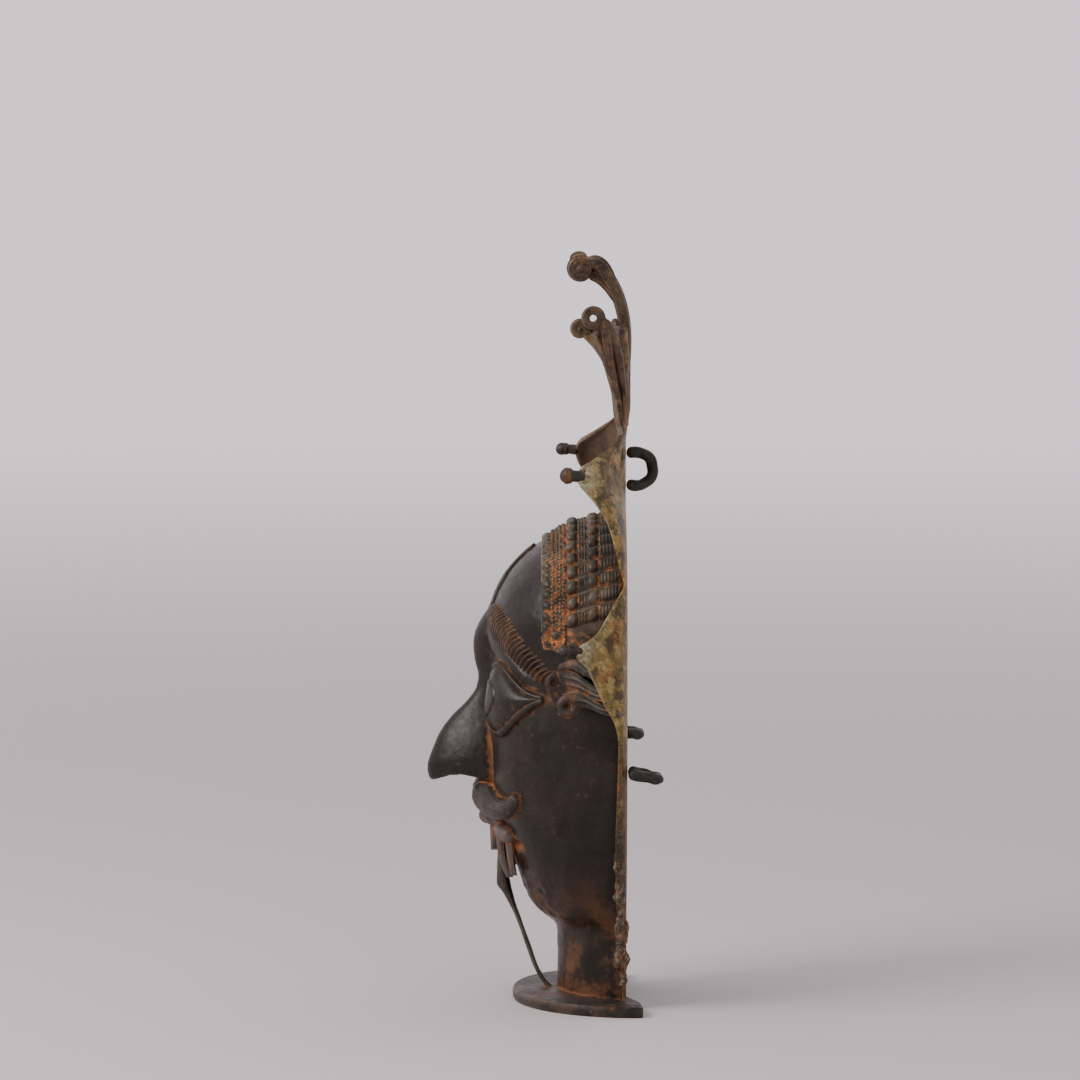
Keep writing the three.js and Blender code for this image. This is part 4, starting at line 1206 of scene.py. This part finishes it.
class Finish:
    """The nodes of a material or of the room, as plain steps. Each step gives the socket that it ends in."""

    def __init__(self, owner, shader, coordinates):
        owner.use_nodes = True
        self.tree = owner.node_tree
        self.shader = self.tree.nodes[shader]
        self.place = self.add("ShaderNodeTexCoord", {}).outputs[coordinates]

    def add(self, kind, fed, **settings):
        node = self.tree.nodes.new(kind)
        for name, value in settings.items():
            setattr(node, name, value)
        for socket, value in fed.items():
            self.feed(node.inputs[socket], value)
        return node

    def feed(self, socket, value):
        if isinstance(value, bpy.types.NodeSocket):
            self.tree.links.new(value, socket)
        else:
            socket.default_value = value

    def grain(self, size, detail, roughness=0.6, stretch=(1, 1, 1)):
        """Noise with lumps of about size millimetres."""
        turned = self.add("ShaderNodeMapping", {"Vector": self.place, "Scale": stretch}).outputs[0]
        fed = {"Vector": turned, "Scale": 500 / size, "Detail": detail, "Roughness": roughness}
        return self.add("ShaderNodeTexNoise", fed).outputs[0]

    def between(self, value, low, high, first=0.0, last=1.0):
        """first below low, last above high, and smooth between."""
        fed = {"Value": value, "From Min": low, "From Max": high, "To Min": first, "To Max": last}
        return self.add("ShaderNodeMapRange", fed, interpolation_type="SMOOTHSTEP").outputs[0]

    def plus(self, a, b):
        return self.add("ShaderNodeMath", {0: a, 1: b}, operation="ADD").outputs[0]

    def times(self, a, b):
        return self.add("ShaderNodeMath", {0: a, 1: b}, operation="MULTIPLY").outputs[0]

    def blend(self, share, a, b):
        a, b = ((*value, 1) if isinstance(value, tuple) else value for value in (a, b))
        return self.add("ShaderNodeMix", {0: share, 6: a, 7: b}, data_type="RGBA").outputs[2]

    def worn(self, name):
        return self.add("ShaderNodeAttribute", {}, attribute_name=name).outputs["Fac"]


RUST = ((0.24, 0.09, 0.03), (0.55, 0.19, 0.06))
BROWN_RUST = ((0.08, 0.04, 0.022), (0.27, 0.105, 0.04))
VERDIGRIS = (0.13, 0.16, 0.10)
GRIME = (0.02, 0.015, 0.012)
GLOSS = 0.3


def bronze(name, tones, crust, crusted, wear, roughness, worn=(0.30, 0.23, 0.15), specks=0.5,
           metal=0.2, pits=0.25, mottles=()):
    """Patinated bronze. tones are the dark, middle and light of the skin, crust the corrosion that lies in
    its hollows. Each mottle is a colour, the size of its patches, the noise where it sets in and is full, its
    share, and where it lies: everywhere, on faces with an attribute, or between two heights in metres."""
    material = bpy.data.materials.new(name)
    f = Finish(material, "Principled BSDF", "Object")
    wide, blotch = f.grain(34, 5), f.grain(9, 6, 0.65)
    speck, fine = f.grain(2.6, 4, 0.7), f.grain(0.9, 3, 0.7)
    drip = f.grain(7, 4, 0.6, (1, 1, 0.16))
    height = f.add("ShaderNodeSeparateXYZ", {0: f.place}).outputs["Z"]
    tone = f.plus(f.times(wide, 0.5), f.times(blotch, 0.5))
    colour = f.blend(f.between(tone, 0.40, 0.52), tones[0], tones[1])
    colour = f.blend(f.between(tone, 0.50, 0.64), colour, tones[2])
    for patch, size, low, high, share, where in mottles:
        amount = f.times(f.between(f.grain(size, 6, 0.68), low, high), share)
        if isinstance(where, str):
            amount = f.times(amount, f.worn(where))
        elif where:
            amount = f.times(amount, f.between(height, *where))
        colour = f.blend(amount, colour, patch)
    colour = f.blend(f.times(f.between(drip, 0.5, 0.72), 0.35), colour, tones[0])
    hollow = f.plus(f.worn("crust"), f.times(f.worn("stain"), 0.4))
    hollow = f.plus(hollow, f.between(speck, 0.3, 0.7, -0.16, 0.16))
    stained = f.times(f.between(hollow, 0.12, 0.38), crusted)
    rust = f.blend(f.between(blotch, 0.40, 0.62), crust[0], crust[1])
    colour = f.blend(stained, colour, rust)
    spot = f.times(f.between(speck, 0.60, 0.70), specks)
    colour = f.blend(f.times(spot, f.between(wide, 0.45, 0.6)), colour, crust[1])
    green = f.times(f.between(f.grain(4.2, 5, 0.7), 0.62, 0.72), f.times(specks, 0.6))
    colour = f.blend(green, colour, VERDIGRIS)
    rubbed = f.times(f.between(f.worn("wear"), 0.25, 0.8), f.between(blotch, 0.3, 0.6))
    colour = f.blend(f.times(rubbed, wear), colour, worn)
    colour = f.blend(f.between(fine, 0.35, 0.65, 0.0, 0.16), colour, GRIME)
    f.feed(f.shader.inputs["Base Color"], colour)
    f.feed(f.shader.inputs["Metallic"], f.between(stained, 0, 0.6, metal, 0.0))
    f.shader.inputs["Specular IOR Level"].default_value = GLOSS
    dull = f.plus(f.between(stained, 0, 0.7, roughness, 0.85), f.between(speck, 0.3, 0.7, -0.05, 0.09))
    f.feed(f.shader.inputs["Roughness"], dull)
    relief = f.plus(f.times(speck, 0.5), f.times(fine, 0.35))
    relief = f.plus(relief, f.times(blotch, 0.8))
    bump = f.add("ShaderNodeBump", {"Height": relief, "Distance": 0.0012, "Strength": pits})
    f.feed(f.shader.inputs["Normal"], bump.outputs[0])
    return material


FINISHES = {
    "face": dict(
        tones=((0.012, 0.008, 0.0055), (0.021, 0.0145, 0.0105), (0.034, 0.025, 0.019)),
        crust=BROWN_RUST, crusted=0.8, wear=0.15, specks=0.3, roughness=0.34, pits=0.2,
        mottles=[
            ((0.15, 0.060, 0.023), 16, 0.42, 0.6, 0.9, (0.13, 0.03)),
            ((0.035, 0.022, 0.014), 40, 0.45, 0.62, 0.7, (0.16, 0.08)),
        ],
    ),
    "brow": dict(
        tones=((0.016, 0.012, 0.009), (0.028, 0.021, 0.016), (0.05, 0.038, 0.027)),
        crust=RUST, crusted=0.45, wear=0.25, roughness=0.36,
    ),
    "crown": dict(
        tones=((0.030, 0.024, 0.016), (0.068, 0.052, 0.034), (0.14, 0.10, 0.065)),
        crust=RUST, crusted=1.0, wear=0.6, worn=(0.32, 0.25, 0.16), roughness=0.42,
    ),
    "frame": dict(
        tones=((0.045, 0.028, 0.017), (0.095, 0.052, 0.028), (0.17, 0.085, 0.040)),
        crust=RUST, crusted=0.45, wear=0.5, worn=(0.36, 0.30, 0.21), roughness=0.5,
        mottles=[
            ((0.19, 0.142, 0.045), 22, 0.3, 0.5, 0.9, "outer"),
            ((0.30, 0.125, 0.035), 9, 0.48, 0.60, 0.75, "outer"),
            ((0.36, 0.265, 0.095), 4, 0.47, 0.60, 0.8, "outer"),
            ((0.045, 0.033, 0.016), 6, 0.50, 0.60, 0.85, "outer"),
            ((0.05, 0.036, 0.018), 1.8, 0.52, 0.62, 0.7, "outer"),
            ((0.040, 0.026, 0.017), 20, 0.3, 0.5, 0.9, (0.215, 0.19)),
            ((0.20, 0.088, 0.037), 5, 0.50, 0.62, 0.7, (0.215, 0.17)),
            ((0.22, 0.19, 0.13), 2.2, 0.56, 0.64, 0.7, (0.16, 0.10)),
            # Painted highlight on the near petals' tips, in pale patches flecked with dark specks.
            ((0.50, 0.50, 0.36), 2.6, 0.42, 0.54, 1.0, "pale"),
            ((0.05, 0.036, 0.018), 1.6, 0.50, 0.60, 0.8, "pale"),
        ],
    ),
    "crest": dict(
        tones=((0.032, 0.021, 0.014), (0.105, 0.069, 0.045), (0.20, 0.138, 0.095)),
        crust=BROWN_RUST, crusted=0.8, wear=0.5, worn=(0.34, 0.26, 0.175), roughness=0.42, metal=0.3,
        mottles=[
            ((0.28, 0.115, 0.038), 14, 0.46, 0.6, 0.7, "outer"),
            ((0.27, 0.195, 0.075), 7, 0.5, 0.62, 0.55, None),
            ((0.030, 0.021, 0.015), 7, 0.40, 0.56, 0.7, (0.497, 0.507)),
            ((0.020, 0.013, 0.009), 5, 0.52, 0.62, 0.75, None),
            ((0.26, 0.11, 0.04), 3.5, 0.55, 0.64, 0.6, None),
        ],
    ),
    "ear": dict(
        tones=((0.020, 0.016, 0.012), (0.040, 0.031, 0.024), (0.075, 0.058, 0.045)),
        crust=RUST, crusted=0.8, wear=0.4, worn=(0.24, 0.19, 0.14), roughness=0.45,
        mottles=[((0.22, 0.09, 0.035), 10, 0.52, 0.66, 0.5, None)],
    ),
    "foot": dict(
        tones=((0.018, 0.014, 0.011), (0.034, 0.027, 0.022), (0.062, 0.049, 0.040)),
        crust=RUST, crusted=0.55, wear=0.4, worn=(0.20, 0.15, 0.11), roughness=0.5,
        mottles=[((0.13, 0.075, 0.045), 13, 0.50, 0.66, 0.6, None)],
    ),
    "stay": dict(
        tones=((0.022, 0.018, 0.012), (0.045, 0.036, 0.024), (0.085, 0.066, 0.044)),
        crust=BROWN_RUST, crusted=0.5, wear=0.4, roughness=0.45,
    ),
    "mouth": dict(
        tones=((0.020, 0.016, 0.0125), (0.038, 0.030, 0.025), (0.07, 0.057, 0.049)),
        crust=RUST, crusted=0.75, wear=0.5, worn=(0.26, 0.22, 0.19), roughness=0.42,
        mottles=[((0.13, 0.10, 0.083), 9, 0.3, 0.5, 0.85, (0.143, 0.135))],
    ),
    "loop": dict(
        tones=((0.013, 0.013, 0.010), (0.026, 0.025, 0.020), (0.05, 0.046, 0.036)),
        crust=BROWN_RUST, crusted=0.5, wear=0.3, worn=(0.16, 0.16, 0.12), roughness=0.5,
    ),
}


# The pieces: name, the solid that each stands for, slot, finish and how it is made.
PIECES = [
    ("mask_head", "mask", "dark_bronze", "face", head_mesh),
    ("mask_brows", "mask", "dark_bronze", "brow", brows_mesh),
    ("mask_forehead_bars", "mask", "dark_bronze", "face", forehead_mesh),
    ("mask_lids", "mask", "dark_bronze", "face", lids_mesh),
    ("mask_mouth", "mask", "dark_bronze", "mouth", mouth_mesh),
    ("mask_crown", "mask", "green_bronze", "crown", crown_mesh),
    ("mask_frame", "mask", "worn_bronze", "frame", frame_mesh),
    ("mask_ears", "mask", "worn_bronze", "ear", ears_mesh),
    ("mask_crest", "mask", "worn_bronze", "crest", crest_mesh),
    ("mask_foot", "mask", "dark_bronze", "foot", foot_mesh),
    ("stay_cast", "tongue_stay", "worn_bronze", "stay", stay_mesh),
    ("top_loop_cast", "back_loop_top", "dark_bronze", "loop", top_loop),
]
PIECES += [
    (f"side_loop_{hand}", f"back_loop_{hand}", "dark_bronze", "loop", partial(side_loop, **loop))
    for hand, loop in SIDE_LOOPS.items()
]


def build():
    meshes = [piece[4]() for piece in PIECES]
    weathered(meshes)
    bronzes = {name: bronze(f"{name}_bronze", **finish) for name, finish in FINISHES.items()}
    for (name, node, slot, finish, _), mesh in zip(PIECES, meshes):
        mesh.shade_smooth()
        mesh.set_sharp_from_angle(angle=math.radians(SHARP_ANGLE))
        mesh.materials.clear()
        mesh.materials.append(bronzes[finish])
        piece = show(mesh, name)
        mesh.name = name
        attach(piece, "root")
        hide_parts(node)


# The studio

FLOOR_REACH = 14
FLOOR_FADE = (0.25, 7)
PAPER = (0.60, 0.565, 0.56)
ROOM = 1.25
ROOM_PALE = (0.94, 0.865, 0.925)
ROOM_DIM = (0.36, 0.325, 0.33)
CAMERA = {"lens": 163.97, "sensor": 36, "place": (3.6752, -0.0293, 0.6680), "tilt": 85, "turn": 90}
# The lamps: name, place, size and power. They point at AIM.
LAMPS = (("key", (0.9, -1.7, 1.5), 1.3, 42), ("fill", (1.8, 0.9, 1.0), 1.5, 8))
AIM = (0, 0, 0.3)


def room_light(f, direction):
    """The room's soft light from a fixed direction: pale on the mask's right, dim on its left."""
    level = f.add("ShaderNodeVectorMath", {0: direction}, operation="NORMALIZE").outputs["Vector"]
    toward = f.add("ShaderNodeSeparateXYZ", {0: level}).outputs["X"]
    return f.blend(f.between(toward, -0.55, 0.75), ROOM_PALE, ROOM_DIM)


def studio():
    lens = bpy.data.cameras.new("camera")
    lens.lens = CAMERA["lens"]
    lens.sensor_width = CAMERA["sensor"]
    lens.clip_end = 200
    camera = bpy.data.objects.new("camera", lens)
    camera.location = CAMERA["place"]
    camera.rotation_euler = (math.radians(CAMERA["tilt"]), 0, math.radians(CAMERA["turn"]))
    bpy.context.scene.collection.objects.link(camera)
    bpy.context.scene.camera = camera

    bm = bmesh.new()
    bmesh.ops.create_circle(bm, cap_ends=True, segments=96, radius=FLOOR_REACH)
    plane = bpy.data.meshes.new("floor")
    bm.to_mesh(plane)
    bm.free()
    floor = show(plane, "floor")
    paper = bpy.data.materials.new("paper")
    f = Finish(paper, "Principled BSDF", "Object")
    span = f.add("ShaderNodeVectorMath", {0: f.place}, operation="LENGTH").outputs["Value"]
    away = f.between(span, *FLOOR_FADE)
    f.feed(f.shader.inputs["Base Color"], f.blend(away, PAPER, (0.0, 0.0, 0.0)))
    f.feed(f.shader.inputs["Emission Color"], room_light(f, f.place))
    f.feed(f.shader.inputs["Emission Strength"], f.times(away, ROOM))
    f.shader.inputs["Roughness"].default_value = 0.9
    f.shader.inputs["Specular IOR Level"].default_value = 0.0
    plane.materials.append(paper)

    sky = bpy.data.worlds.new("studio")
    room = Finish(sky, "Background", "Generated")
    room.feed(room.shader.inputs["Color"], room_light(room, room.place))
    room.shader.inputs["Strength"].default_value = ROOM
    bpy.context.scene.world = sky

    for name, place, size, power in LAMPS:
        lamp = bpy.data.lights.new(name, "AREA")
        lamp.size = size
        lamp.energy = power
        light = bpy.data.objects.new(name, lamp)
        light.location = place
        light.rotation_euler = (Vector(AIM) - Vector(place)).to_track_quat("-Z", "Y").to_euler()
        bpy.context.scene.collection.objects.link(light)


build()
studio()
